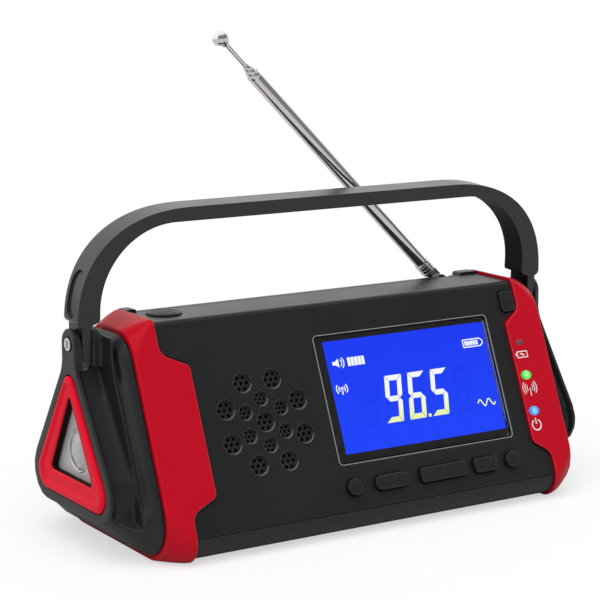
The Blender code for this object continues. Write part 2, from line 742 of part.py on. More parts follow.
def push_button(name, frame, cover, width, height, radius, proud, stem):
    """Button cap in a close hole, held by a flange behind the wall."""
    boolean(cover, plate(name + "_hole", [grown(width, height, radius, GAP)], -2 * WALL, WALL, frame, None,
                         cutters))
    flange_back = BEHIND_WALL - BUTTON_FLANGE_THICKNESS
    cap = plate(name, [rectangle(width, height, radius)], stem, proud, frame, BLACK)
    flange = plate(name + "_flange", [grown(width, height, radius, BUTTON_FLANGE)], flange_back, BEHIND_WALL,
                   frame, None, cutters)
    boolean(cap, flange, "UNION")
    return cap


row_left = MEMORY_BUTTON_X - ROUND_BUTTON_DIAMETER
row_right = POWER_BUTTON_X + ROUND_BUTTON_DIAMETER
row_height = ROUND_BUTTON_DIAMETER + 2 * BUTTON_FLANGE + 2 * GAP
boolean(front_cover, plate("button_relief", [
    rectangle(row_right - row_left, row_height, BUTTON_CORNER, ((row_left + row_right) / 2, BUTTON_ROW_S)),
], BOARD_FACE, BEHIND_WALL + GAP / 2, FRONT, None, cutters))
BUTTON_STEM = BOARD_FACE + SWITCH_TRAVEL + GAP
ROUND_CORNER = ROUND_BUTTON_DIAMETER / 2 - GAP / 10
front_buttons = (
    ("memory_button", MEMORY_BUTTON_X, ROUND_BUTTON_DIAMETER, ROUND_BUTTON_DIAMETER, ROUND_CORNER),
    ("tuning_button", TUNING_BUTTON_X, TUNING_BUTTON_WIDTH, BUTTON_HEIGHT, 2 * BUTTON_CORNER),
    ("volume_button", VOLUME_BUTTON_X, VOLUME_BUTTON_WIDTH, BUTTON_HEIGHT, BUTTON_CORNER),
    ("band_button", BAND_BUTTON_X, BAND_BUTTON_WIDTH, BUTTON_HEIGHT, BUTTON_CORNER),
    ("power_button", POWER_BUTTON_X, ROUND_BUTTON_DIAMETER, ROUND_BUTTON_DIAMETER, ROUND_CORNER),
)
for button_name, button_x, button_width, button_height, button_radius in front_buttons:
    button_frame = FRONT @ shift(button_x, BUTTON_ROW_S, 0)
    push_button(button_name, button_frame, front_cover, button_width, button_height, button_radius,
                BUTTON_PROUD, BUTTON_STEM)
ALARM_STEM = BEHIND_WALL - BUTTON_FLANGE_THICKNESS - SWITCH_TRAVEL
alarm_frame = FRONT @ shift(ALARM_BUTTON_X, ALARM_BUTTON_S, 0)
push_button("alarm_button", alarm_frame, front_cover, ALARM_BUTTON_WIDTH, ALARM_BUTTON_HEIGHT, BUTTON_CORNER,
            ALARM_BUTTON_PROUD, ALARM_STEM)

torch_button_frame = shift(TORCH_BUTTON_X, TORCH_BUTTON_Y, TOP_HEIGHT)
boolean(front_cover, cylinder("torch_button_hole", TORCH_BUTTON_RADIUS + GAP, -2 * WALL, WALL,
                              torch_button_frame, None, cutters))
flange_radius = TORCH_BUTTON_RADIUS + BUTTON_FLANGE
smooth(turned("torch_button", [
    (0, TORCH_BUTTON_PROUD),
    (TORCH_BUTTON_RADIUS - GAP, TORCH_BUTTON_PROUD),
    (TORCH_BUTTON_RADIUS, TORCH_BUTTON_PROUD - GAP),
    (TORCH_BUTTON_RADIUS, BEHIND_WALL),
    (flange_radius, BEHIND_WALL),
    (flange_radius, BEHIND_WALL - BUTTON_FLANGE_THICKNESS),
    (0, BEHIND_WALL - BUTTON_FLANGE_THICKNESS),
], torch_button_frame, BLACK))


# Indicator lights
for light_name, light_s in (
    ("charge_light", CHARGE_LIGHT_S),
    ("signal_light", SIGNAL_LIGHT_S),
    ("power_light", POWER_LIGHT_S),
):
    light_frame = FRONT @ shift(INDICATOR_X, light_s, 0)
    end_radius = INDICATOR_HEIGHT / 2 - GAP / 10
    light_hole = plate(light_name + "_hole", [
        grown(INDICATOR_LENGTH, INDICATOR_HEIGHT, end_radius, GAP),
    ], -2 * WALL, 2 * WALL, light_frame, None, cutters)
    boolean(right_bumper, light_hole)
    boolean(front_cover, light_hole)
    plate(light_name, [rectangle(INDICATOR_LENGTH, INDICATOR_HEIGHT, end_radius)], -INDICATOR_DEPTH,
          BUMPER_PROUD - GAP, light_frame, CLEAR_PLASTIC)


# Loudspeaker and its grille
def ring_places(radius, count, phase):
    turns = [2 * math.pi * (index + phase) / count for index in range(count)]
    return [(radius * math.cos(turn), radius * math.sin(turn)) for turn in turns]


speaker_frame = FRONT @ shift(SPEAKER_X, SPEAKER_S, 0)
large_dimples = [(0.0, 0.0)] + ring_places(OUTER_RING_RADIUS, OUTER_RING_COUNT, 0.5)
small_dimples = ring_places(INNER_RING_RADIUS, INNER_RING_COUNT, 0.5)
for dimple_name, places, dimple_radius in (
    ("large_dimples", large_dimples, LARGE_DIMPLE_RADIUS),
    ("small_dimples", small_dimples, SMALL_DIMPLE_RADIUS),
):
    boolean(front_cover, cylinders(dimple_name, places, dimple_radius, -DIMPLE_DEPTH, WALL, speaker_frame,
                                   None, cutters, 2 * HOLE_STEPS))
    hole_ring = [(0.0, 0.0)] + ring_places(dimple_radius * SOUND_HOLE_RING_SHARE, SOUND_HOLE_COUNT, 0.0)
    holes = [(a + c, b + d) for a, b in places for c, d in hole_ring]
    hole_radius = dimple_radius * SOUND_HOLE_SHARE
    boolean(front_cover, cylinders(dimple_name + "_holes", holes, hole_radius, -2 * WALL, WALL, speaker_frame,
                                   None, cutters, HOLE_STEPS))

SPEAKER_FACE = BEHIND_WALL
smooth(turned("speaker", [
    (SPEAKER_RADIUS - SPEAKER_RIM, SPEAKER_FACE),
    (SPEAKER_RADIUS, SPEAKER_FACE),
    (SPEAKER_RADIUS, SPEAKER_FACE - SPEAKER_RIM),
    (MAGNET_RADIUS, SPEAKER_FACE - SPEAKER_DEPTH + MAGNET_DEPTH),
    (MAGNET_RADIUS, SPEAKER_FACE - SPEAKER_DEPTH),
    (0, SPEAKER_FACE - SPEAKER_DEPTH),
    (0, SPEAKER_FACE - SPEAKER_DEPTH + MAGNET_DEPTH),
    (MAGNET_RADIUS - SPEAKER_RIM, SPEAKER_FACE - SPEAKER_DEPTH + MAGNET_DEPTH),
    (SPEAKER_RADIUS - 2 * SPEAKER_RIM, SPEAKER_FACE - SPEAKER_RIM),
    (SPEAKER_RADIUS - SPEAKER_RIM, SPEAKER_FACE - SPEAKER_RIM),
], speaker_frame, STEEL, parts, ROUND_STEPS, True))
CONE_RADIUS = SPEAKER_RADIUS - SPEAKER_RIM - GAP
CONE_REST = SPEAKER_FACE - SPEAKER_RIM + GAP
CONE_APEX = SPEAKER_FACE - SPEAKER_DEPTH + MAGNET_DEPTH + GAP
CONE_HUB = MAGNET_RADIUS - 2 * SPEAKER_RIM
smooth(turned("speaker_cone", [
    (0, CONE_APEX + 2 * CONE_THICKNESS),
    (CONE_HUB, CONE_APEX + CONE_THICKNESS),
    (CONE_RADIUS - SPEAKER_RIM, CONE_REST + CONE_THICKNESS),
    (CONE_RADIUS, CONE_REST + CONE_THICKNESS),
    (CONE_RADIUS, CONE_REST),
    (CONE_RADIUS - SPEAKER_RIM, CONE_REST),
    (CONE_HUB, CONE_APEX),
    (0, CONE_APEX),
], speaker_frame, PAPER))


# Battery lying on the floor of the rear cover
battery_height = UNDERSIDE + WALL + GAP + BATTERY_RADIUS
battery_axis = SECTION @ shift(BATTERY_Y, battery_height, BATTERY_X)
smooth(cylinder("battery", BATTERY_RADIUS, -BATTERY_LENGTH / 2, BATTERY_LENGTH / 2, battery_axis, WRAP))


# Solar panel
solar_frame = REAR @ shift(-SOLAR_X, SOLAR_S, 0)
boolean(rear_cover, plate("solar_pocket", [grown(SOLAR_WIDTH, SOLAR_HEIGHT, BUTTON_CORNER, GAP)],
                          -SOLAR_THICKNESS - 2 * GAP, WALL, solar_frame, None, cutters))
plate("solar_panel", [rectangle(SOLAR_WIDTH, SOLAR_HEIGHT, BUTTON_CORNER)], -SOLAR_THICKNESS - GAP, -GAP,
      solar_frame, SOLAR_BLUE)


# Crank, gears and dynamo
crank_frame = REAR @ shift(-CRANK_X, CRANK_S, 0)
DISH_FLOOR = -CRANK_THICKNESS - GAP
CUP_BACK = DISH_FLOOR - WALL
GEAR_FACE = CUP_BACK - 2 * GAP
GEAR_BACK = GEAR_FACE - GEAR_THICKNESS
PLATE_FACE = GEAR_BACK - 2 * GAP
PLATE_BACK = PLATE_FACE - GEAR_PLATE_THICKNESS
CUP_RADIUS = CRANK_RADIUS + GAP + WALL
gear_pitch = GEAR_MODULE * GEAR_TEETH / 2
pinion_pitch = GEAR_MODULE * PINION_TEETH / 2
GEAR_DISTANCE = gear_pitch + pinion_pitch
dynamo_frame = crank_frame @ shift(GEAR_DISTANCE, 0, 0)
crank_cup = cylinder("crank_cup", CUP_RADIUS, CUP_BACK, -WALL / 2, crank_frame, None, cutters)
boolean(rear_cover, crank_cup, "UNION")
post_circle = (gear_pitch + GEAR_MODULE + CUP_RADIUS) / 2
post_ring = ring_places(post_circle, GEAR_POST_COUNT, 0.0)
post_places = [place for place in post_ring if place[0] < post_circle / 2 + GAP]
gear_posts = cylinders("gear_posts", post_places, GEAR_POST_RADIUS, PLATE_FACE + GAP, DISH_FLOOR - GAP,
                       crank_frame, None, cutters, SMALL_ROUND_STEPS)
boolean(rear_cover, gear_posts, "UNION")
crank_dish = cylinder("crank_dish", CRANK_RADIUS + GAP, DISH_FLOOR, WALL, crank_frame, None, cutters)
boolean(rear_cover, crank_dish)
boolean(rear_cover, cylinder("crank_bore", CRANK_SHAFT_RADIUS + GAP, 2 * CUP_BACK, WALL, crank_frame, None,
                             cutters))

crank_disc = turned("crank_disc", [
    (0, -GAP),
    (CRANK_RADIUS - 2 * GAP, -GAP),
    (CRANK_RADIUS, -3 * GAP),
    (CRANK_RADIUS, -CRANK_THICKNESS),
    (CRANK_SHAFT_RADIUS, -CRANK_THICKNESS),
    (CRANK_SHAFT_RADIUS, PLATE_BACK),
    (0, PLATE_BACK),
], crank_frame, GREY)
knob_depth = CRANK_THICKNESS - WALL / 2
slot_end = KNOB_PIVOT_RADIUS + KNOB_WIDTH / 2 + GAP
slot_start = KNOB_PIVOT_RADIUS - KNOB_LENGTH - GAP
boolean(crank_disc, plate("knob_slot", [
    rectangle(slot_end - slot_start, KNOB_WIDTH + 2 * GAP, GAP, ((slot_end + slot_start) / 2, 0)),
], -knob_depth - 2 * GAP, WALL, crank_frame, None, cutters))
knob_axis = crank_frame @ shift(KNOB_PIVOT_RADIUS, 0, -GAP - knob_depth / 2)
knob_pin_frame = knob_axis @ Matrix.Rotation(math.radians(90), 4, "X")
pin_half = KNOB_WIDTH / 2 + WALL
boolean(crank_disc, cylinder("knob_pin_bore", KNOB_PIN_RADIUS + GAP / 2, -pin_half - GAP, pin_half + GAP,
                             knob_pin_frame, None, cutters, SMALL_ROUND_STEPS))
knob_half = knob_depth / 2 - GAP / 2
crank_knob = plate("crank_knob", [rounded([
    (-KNOB_LENGTH, -knob_half, knob_half / 2),
    (knob_half, -knob_half, knob_half - GAP / 10),
    (knob_half, knob_half, knob_half - GAP / 10),
    (-KNOB_LENGTH, knob_half, knob_half / 2),
])], -KNOB_WIDTH / 2, KNOB_WIDTH / 2, knob_pin_frame, BLACK)
boolean(crank_knob, cylinder("knob_bore", KNOB_PIN_RADIUS + GAP / 2, -KNOB_WIDTH, KNOB_WIDTH,
                             knob_pin_frame, None, cutters, SMALL_ROUND_STEPS))
smooth(cylinder("knob_pin", KNOB_PIN_RADIUS, -pin_half, pin_half, knob_pin_frame, STEEL, parts,
                SMALL_ROUND_STEPS))


def gear_outline(teeth, phase):
    """Toothed outline: tapered teeth from root to tip on a module circle."""
    pitch_radius = GEAR_MODULE * teeth / 2
    root = pitch_radius - TOOTH_ROOT_DEPTH * GEAR_MODULE
    tip = pitch_radius + GEAR_MODULE
    turn = 2 * math.pi / teeth
    flank = turn * TOOTH_SHARE / 2
    outline = []
    for tooth in range(teeth):
        middle = turn * (tooth + phase)
        for radius, angle in (
            (root, middle - flank * TOOTH_ROOT_SHARE),
            (tip, middle - flank * TOOTH_TIP_SHARE),
            (tip, middle + flank * TOOTH_TIP_SHARE),
            (root, middle + flank * TOOTH_ROOT_SHARE),
        ):
            outline.append((radius * math.cos(angle), radius * math.sin(angle)))
    return outline


plate("crank_gear", [
    gear_outline(GEAR_TEETH, 0.5),
    circle(CRANK_SHAFT_RADIUS + GAP / 2),
], GEAR_BACK, GEAR_FACE, crank_frame, NYLON)
plate("dynamo_pinion", [
    gear_outline(PINION_TEETH, 0.5 * (PINION_TEETH % 2)),
    circle(DYNAMO_SHAFT_RADIUS + GAP / 2, SMALL_ROUND_STEPS),
], GEAR_BACK, GEAR_FACE, dynamo_frame, BRASS)
plate_reach = CUP_RADIUS - WALL
plate("gear_plate", [
    rounded([
        (-plate_reach, -plate_reach, plate_reach / 2),
        (GEAR_DISTANCE + DYNAMO_RADIUS, -DYNAMO_RADIUS, DYNAMO_RADIUS / 2),
        (GEAR_DISTANCE + DYNAMO_RADIUS, DYNAMO_RADIUS, DYNAMO_RADIUS / 2),
        (-plate_reach, plate_reach, plate_reach / 2),
    ]),
    circle(CRANK_SHAFT_RADIUS + GAP),
    circle(2 * DYNAMO_SHAFT_RADIUS, SMALL_ROUND_STEPS, (GEAR_DISTANCE, 0)),
], PLATE_BACK, PLATE_FACE, crank_frame, STEEL)
DYNAMO_FACE = PLATE_BACK - GAP
dynamo = turned("dynamo", [
    (0, DYNAMO_FACE),
    (DYNAMO_RADIUS, DYNAMO_FACE),
    (DYNAMO_RADIUS, DYNAMO_FACE - DYNAMO_LENGTH),
    (0, DYNAMO_FACE - DYNAMO_LENGTH),
], dynamo_frame, STEEL)
shaft_inner = DYNAMO_FACE - DYNAMO_LENGTH / 2
boolean(dynamo, cylinder("dynamo_bore", DYNAMO_SHAFT_RADIUS + GAP, shaft_inner - GAP, 0, dynamo_frame, None,
                         cutters, SMALL_ROUND_STEPS))
smooth(cylinder("dynamo_shaft", DYNAMO_SHAFT_RADIUS, shaft_inner, GEAR_FACE, dynamo_frame, STEEL, parts,
                SMALL_ROUND_STEPS))


# End caps
def base_half(offset):
    """Right half of the body section, from the middle of the top to the middle of the bottom."""
    bottom = UNDERSIDE - offset
    top = TOP_HEIGHT - END_TOP_DROP + offset
    corner = half_depth(top, offset)
    foot = half_depth(bottom, offset)
    outline = rounded([
        (0, top, 0),
        (corner, top, END_TOP_RADIUS + offset),
        (foot, bottom, END_EDGE_RADIUS + offset),
        (0, bottom, 0),
    ])
    head = outline[:ARC_STEPS + 2]
    tail = outline[ARC_STEPS + 2:]
    start = Vector(head[-1])
    finish = Vector(tail[0])
    side = [start.lerp(finish, (step + 1) / (2 * ARC_STEPS)) for step in range(ARC_STEPS + 1)]
    return head + [tuple(point) for point in side] + tail


def rim_half(lift):
    """Right half of the outer rim: an ear on top of a rounded triangle with its base lifted."""
    flare = PIVOT_HEIGHT - EAR_FLARE_DROP
    base = RIM_BOTTOM + lift
    corner = EAR_RADIUS + (RIM_CORNER_Y - EAR_RADIUS) * (flare - base) / (flare - RIM_BOTTOM)
    return rounded([
        (0, EAR_TOP, 0),
        (EAR_RADIUS, EAR_TOP, EAR_RADIUS - GAP / 10),
        (EAR_RADIUS, flare, EAR_RADIUS * 2),
        (corner, base, RIM_CORNER_RADIUS),
        (0, base, 0),
    ])


def whole(half):
    """Full loop from a right half that starts and ends on the middle plane."""
    return half + [(-a, b) for a, b in reversed(half[1:-1])]


def rim_side(rim):
    """Start and end of the straight slanted side of a rim's right half."""
    return Vector(rim[2 * ARC_STEPS + 2]), Vector(rim[2 * ARC_STEPS + 3])


def end_cap(name, side, depth, bevel, bevel_inset, groove, lift, has_post):
    """Bevel and shoulder in line with the body, and a flat rim that stands on a sloping foot."""
    outer = side * HALF_LENGTH
    inner = outer - side * (depth - GAP)
    rim = rim_half(lift)
    rim_back = outer - side * RIM_THICKNESS
    slot_outer = outer - side * EAR_THICKNESS
    slot_inner = outer - side * (HANDLE_LEG_INBOARD + HANDLE_LEG_THICKNESS + 2 * GAP)
    shoulder = inner + side * (bevel + groove)
    shoulder_end = side * max(side * slot_inner, side * shoulder + GAP)
    loops = []
    for across, half in (
        (inner, base_half(-GAP)),
        (inner + side * bevel, base_half(-bevel_inset)),
        (shoulder, base_half(-CAP_SHOULDER_INSET)),
        (shoulder_end, base_half(-CAP_SHOULDER_INSET)),
        (rim_back, rim),
        (outer, rim),
    ):
        loops.append([(across, a, b) for a, b in whole(half)])
    cap = bridged(name, loops, Matrix(), BLACK)
    ear_face = slot_outer - side * (HANDLE_TONGUE_THICKNESS + 2 * GAP)
    pivot = SECTION @ shift(0, PIVOT_HEIGHT, 0)
    slot_floor = PIVOT_HEIGHT - PIVOT_SLOT_RADIUS
    if has_post:
        low, high = sorted((slot_inner, shoulder))
        boolean(cap, plate(name + "_post", [rounded([
            (-POST_HALF_WIDTH, slot_floor - WALL, 0),
            (POST_HALF_WIDTH, slot_floor - WALL, 0),
            (POST_HALF_WIDTH, POST_TOP, POST_EDGE),
            (-POST_HALF_WIDTH, POST_TOP, POST_EDGE),
        ])], low, high, SECTION, None, cutters), "UNION")
    low, high = sorted((slot_outer, slot_inner))
    slot_low = slot_floor + WALL / 2
    boolean(cap, cylinder(name + "_slot_round", PIVOT_SLOT_RADIUS, low, high, pivot, None, cutters))
    boolean(cap, box(name + "_slot", (low, -CLEAR, slot_low), (high, CLEAR, CLEAR)))
    low, high = sorted((ear_face, slot_inner - side * GAP))
    boolean(cap, plate(name + "_inner_ear", [rounded([
        (-EAR_RADIUS, slot_floor - WALL, 0),
        (EAR_RADIUS, slot_floor - WALL, 0),
        (EAR_RADIUS, EAR_TOP, EAR_RADIUS - GAP / 10),
        (-EAR_RADIUS, EAR_TOP, EAR_RADIUS - GAP / 10),
    ])], low, high, SECTION, None, cutters), "UNION")
    top, bottom = rim_side(rim)
    along = (bottom - top).normalized()
    inward = Vector((along.y, -along.x)) * SCOOP_DEPTH
    scoop_low, scoop_high = sorted((rim_back, slot_inner))
    head = top + inward
    foot = bottom + inward
    widest = max(a for a, b in rim) - SCOOP_DEPTH
    far = 2 * BASE_HALF_DEPTH
    floor_end = SCOOP_BOTTOM - (far - widest) * math.tan(math.radians(SCOOP_FLOOR_DEG))
    scoop = [
        (EAR_RADIUS - SCOOP_DEPTH, slot_low + GAP),
        (head.x, head.y),
        (foot.x, foot.y),
        (widest, RIM_BOTTOM + lift + RIM_CORNER_RADIUS),
        (widest, SCOOP_BOTTOM),
        (far, floor_end),
        (far, slot_low + GAP),
    ]
    for face, mirror in (("rear", 1), ("front", -1)):
        band = [(a * mirror, b) for a, b in scoop]
        boolean(cap, plate(f"{name}_{face}_scoop", [band], scoop_low, scoop_high, SECTION, None, cutters))
    pin_inner = ear_face - side * PIVOT_PIN_REACH
    low, high = sorted((pin_inner - side * GAP, outer + side * WALL))
    boolean(cap, cylinder(name + "_pin_bore", PIVOT_PIN_RADIUS + GAP, low, high, pivot, None, cutters,
                          SMALL_ROUND_STEPS))
    low, high = sorted((pin_inner, outer + side * GAP))
    pin_name = name.replace("end_cap", "pivot_pin")
    smooth(cylinder(pin_name, PIVOT_PIN_RADIUS, low, high, pivot, STEEL, parts, SMALL_ROUND_STEPS))
    low, high = sorted((outer - side * (FRAME_SEAT + GAP), outer + side * WALL))
    boolean(cap, plate(name + "_frame_seat", [frame_triangle(GAP)], low, high, SECTION, None, cutters))
    return cap


left_end_cap = end_cap("left_end_cap", -1, LEFT_CAP_DEPTH, LEFT_CAP_BEVEL, LEFT_CAP_BEVEL_INSET,
                       LEFT_GROOVE_WIDTH, 0.0, True)
right_end_cap = end_cap("right_end_cap", 1, RIGHT_CAP_DEPTH, RIGHT_CAP_BEVEL, RIGHT_CAP_BEVEL_INSET,
                        GAP, RIGHT_RIM_LIFT, False)

# Narrow groove between the bevel and the shoulder of the left cap
groove_start = SHELL_LEFT - GAP - LEFT_CAP_BEVEL
groove_inset = CAP_SHOULDER_INSET + LEFT_GROOVE_DEPTH
for face, mirror in (("rear", 1), ("front", -1)):
    band = [
        (half_depth(LEFT_GROOVE_TOP, -groove_inset) * mirror, LEFT_GROOVE_TOP),
        (half_depth(LEFT_GROOVE_BOTTOM, -groove_inset) * mirror, LEFT_GROOVE_BOTTOM),
        (half_depth(LEFT_GROOVE_BOTTOM, WALL) * mirror, LEFT_GROOVE_BOTTOM),
        (half_depth(LEFT_GROOVE_TOP, WALL) * mirror, LEFT_GROOVE_TOP),
    ]
    boolean(left_end_cap, plate(face + "_cap_groove", [band], groove_start - LEFT_GROOVE_WIDTH,
                                groove_start, SECTION, None, cutters))


# Torch
def end_loops(side, levels):
    """Loops that blend from the frame outline to its opening, each at its own height off the rim."""
    outer = frame_triangle()
    inner = opening_triangle()
    loops = []
    for blend, height in levels:
        across = side * (HALF_LENGTH + height)
        loops.append([
            (across, a + (c - a) * blend, b + (d - b) * blend)
            for (a, b), (c, d) in zip(outer, inner)
        ])
    return loops


frame_profile = (
    (0.0, -FRAME_SEAT),
    (0.0, FRAME_RIDGE / 3),
    (RIDGE_START, FRAME_RIDGE),
    (RIDGE_END, FRAME_RIDGE),
    (PANEL_START, FRAME_RIDGE / 4),
    (PANEL_END, FRAME_RIDGE / 4),
    (1.0, -FRAME_RIDGE / 4),
    (1.0, -FRAME_SEAT),
)
bridged("torch_frame", end_loops(-1, frame_profile), Matrix(), RED, parts, True)
torch_face = -HALF_LENGTH + FRAME_SEAT + 2 * GAP
torch_back = torch_face + REFLECTOR_THICKNESS
boolean(left_end_cap, plate("reflector_seat", [frame_triangle(GAP - REFLECTOR_MARGIN)], -HALF_LENGTH,
                            torch_back + GAP, SECTION, None, cutters))
torch_axis = SECTION @ shift(0, TORCH_LENS_HEIGHT, 0)
plate("torch_reflector", [
    frame_triangle(-REFLECTOR_MARGIN),
    circle(TORCH_LENS_RADIUS + GAP, ROUND_STEPS, (0, TORCH_LENS_HEIGHT)),
], torch_face, torch_back, SECTION, CHROME)
torch_lens_frame = torch_axis @ shift(0, 0, torch_back) @ Matrix.Rotation(math.pi, 4, "X")
lens_dome = [
    (TORCH_LENS_RADIUS * across, REFLECTOR_THICKNESS + TORCH_LENS_DOME * rise) for across, rise in LENS_CURVE
]
smooth(turned("torch_lens", lens_dome + [(TORCH_LENS_RADIUS, 0), (0, 0)], torch_lens_frame, CLEAR_PLASTIC))
led_face = torch_back + GAP
led_back = led_face + TORCH_LED_THICKNESS
boolean(left_end_cap, cylinder("led_seat", TORCH_LED_RADIUS + GAP, -HALF_LENGTH, led_back + GAP, torch_axis,
                               None, cutters))
smooth(cylinder("torch_led", TORCH_LED_RADIUS, led_face, led_back, torch_axis, NYLON))


# Ports at the right end
cover_profile = (
    (0.0, -FRAME_SEAT),
    (0.0, FRAME_RIDGE / 3),
    (RIDGE_START, FRAME_RIDGE),
    (RIDGE_END, FRAME_RIDGE),
    (PANEL_START, FRAME_RIDGE / 4),
)
hinge_line = Vector((HALF_LENGTH + FRAME_RIDGE / 3, 0, FRAME_BASE))
hinge_frame = Matrix.Translation(hinge_line)
bridged("port_cover", [
    [tuple(Vector(point) - hinge_line) for point in loop] for loop in end_loops(1, cover_profile)
], hinge_frame, RED)
socket_face = HALF_LENGTH - FRAME_SEAT - 2 * GAP
socket_back = SHELL_RIGHT + GAP
board_face = SHELL_RIGHT - GAP
port_height = (USB_CENTRE_HEIGHT + CHARGE_CENTRE_HEIGHT) / 2
charge_corner = CHARGE_HEIGHT / 2 - SOCKET_WALL / 4
for socket_name, socket_width, socket_height, socket_z, socket_corner in (
    ("usb_socket", USB_WIDTH, USB_HEIGHT, USB_CENTRE_HEIGHT, SOCKET_WALL),
    ("charge_socket", CHARGE_WIDTH, CHARGE_HEIGHT, CHARGE_CENTRE_HEIGHT, charge_corner),
):
    place = (0, socket_z)
    mouth_width = socket_width - 2 * SOCKET_WALL
    mouth_height = socket_height - 2 * SOCKET_WALL
    boolean(right_end_cap, plate(socket_name + "_hole", [
        rectangle(socket_width + 2 * GAP, socket_height + 2 * GAP, socket_corner, place),
    ], 0, HALF_LENGTH, SECTION, None, cutters))
    plate(socket_name, [
        rectangle(socket_width, socket_height, socket_corner, place),
        rectangle(mouth_width, mouth_height, socket_corner - SOCKET_WALL, place),
    ], socket_back, socket_face, SECTION, STEEL)
plate("port_board", [rectangle(PORT_BOARD_WIDTH, PORT_BOARD_HEIGHT, BUTTON_CORNER, (0, port_height))],
      board_face - BOARD_THICKNESS, board_face, SECTION, BOARD_GREEN)


# Handle
leg_outer = HALF_LENGTH - HANDLE_LEG_INBOARD
leg_inner = leg_outer - HANDLE_LEG_THICKNESS
tongue_outer = HALF_LENGTH - EAR_THICKNESS - GAP
tongue_inner = tongue_outer - HANDLE_TONGUE_THICKNESS
bar_inner = HANDLE_RISE - HANDLE_BAR_THICKNESS
tongue_foot = -HANDLE_WIDTH / 2
leg_foot = HANDLE_LEG_BOTTOM + 2 * HANDLE_EDGE


def arch(half):
    """Closed outline of a left-right symmetric arch from its right half."""
    return rounded(half + [(-a, b, radius) for a, b, radius in reversed(half)], 2 * ARC_STEPS)


handle_frame = shift(0, 0, PIVOT_HEIGHT) @ Matrix.Rotation(math.radians(HANDLE_LEAN_DEG), 4, "X")
handle = plate("handle", [arch([
    (leg_inner, bar_inner, HANDLE_INNER_RADIUS),
    (leg_inner, leg_foot, 0),
    (tongue_inner, HANDLE_LEG_BOTTOM, 0),
    (tongue_inner, tongue_foot, 0),
    (tongue_outer, tongue_foot, 0),
    (tongue_outer, HANDLE_LEG_BOTTOM, 0),
    (leg_outer, leg_foot, 0),
    (leg_outer, HANDLE_RISE, HANDLE_OUTER_RADIUS),
])], -HANDLE_WIDTH / 2, HANDLE_WIDTH / 2, handle_frame @ SIDE_VIEW, BLACK)
edge = handle.modifiers.new("edge", "BEVEL")
edge.width = HANDLE_EDGE
edge.segments = 1
edge.limit_method = "ANGLE"
edge.angle_limit = math.radians(HANDLE_EDGE_ANGLE_DEG)
recess_low = leg_foot + HANDLE_RECESS_BORDER
recess_width = HANDLE_WIDTH - 2 * HANDLE_RECESS_BORDER
recess = plate("handle_recess", [
    rectangle(4 * HALF_LENGTH, 4 * HALF_LENGTH),
    arch([
        (leg_outer - HANDLE_RECESS_DEPTH, -HALF_LENGTH, 0),
        (leg_outer - HANDLE_RECESS_DEPTH, HANDLE_RISE - HANDLE_RECESS_DEPTH, HANDLE_OUTER_RADIUS),
    ]),
], -HANDLE_WIDTH, HANDLE_WIDTH, handle_frame @ SIDE_VIEW, None, cutters)
boolean(recess, plate("handle_recess_outline", [rounded([
    (-recess_width / 2, recess_low, recess_width / 2 - GAP),
    (recess_width / 2, recess_low, recess_width / 2 - GAP),
    (recess_width / 2, recess_low + HANDLE_RECESS_LENGTH, recess_width / 2 - GAP),
    (-recess_width / 2, recess_low + HANDLE_RECESS_LENGTH, recess_width / 2 - GAP),
])], -CLEAR, CLEAR, handle_frame @ SECTION, None, cutters), "INTERSECT")
boolean(handle, recess)
handle_axis = SECTION @ shift(0, PIVOT_HEIGHT, 0)
boolean(handle, cylinder("handle_bore", PIVOT_PIN_RADIUS + GAP, -CLEAR, CLEAR, handle_axis, None, cutters,
                         SMALL_ROUND_STEPS))


# Antenna
swivel_low = GROOVE_FLOOR + GAP
fork_gap = KNUCKLE_THICKNESS + GAP
fork_outer = fork_gap / 2 + FORK_EAR_THICKNESS
antenna_pivot = shift(ANTENNA_X, ANTENNA_Y, ANTENNA_PIVOT_HEIGHT)
cross_pin = antenna_pivot @ Matrix.Rotation(math.radians(90), 4, "X")
base = turned("antenna_base", [
    (0, swivel_low + SWIVEL_THICKNESS),
    (SWIVEL_RADIUS, swivel_low + SWIVEL_THICKNESS),
    (SWIVEL_RADIUS, swivel_low),
    (SWIVEL_STEM_RADIUS, swivel_low),
    (SWIVEL_STEM_RADIUS, GROOVE_FLOOR - WALL),
    (0, GROOVE_FLOOR - WALL),
], swivel_axis, CHROME, parts, SMALL_ROUND_STEPS)
ear_bottom = swivel_low + SWIVEL_THICKNESS / 2 - ANTENNA_PIVOT_HEIGHT
ear_outline = rounded([
    (-FORK_EAR_RADIUS, ear_bottom, 0),
    (FORK_EAR_RADIUS, ear_bottom, 0),
    (FORK_EAR_RADIUS, FORK_EAR_RADIUS, FORK_EAR_RADIUS - GAP / 10),
    (-FORK_EAR_RADIUS, FORK_EAR_RADIUS, FORK_EAR_RADIUS - GAP / 10),
])
for ear_name, low, high in (
    ("front_fork_ear", fork_gap / 2, fork_outer),
    ("rear_fork_ear", -fork_outer, -fork_gap / 2),
):
    fork_ear = plate(ear_name, [ear_outline], low, high, antenna_pivot @ SIDE_VIEW, None, cutters)
    boolean(base, fork_ear, "UNION")
pin_bore = cylinder("antenna_pin_bore", ANTENNA_PIN_RADIUS + GAP / 2, -SWIVEL_RADIUS, SWIVEL_RADIUS,
                    cross_pin, None, cutters, SMALL_ROUND_STEPS)
boolean(base, pin_bore)
smooth(cylinder("antenna_pin", ANTENNA_PIN_RADIUS, -fork_outer, fork_outer, cross_pin, CHROME, parts,
                SMALL_ROUND_STEPS))

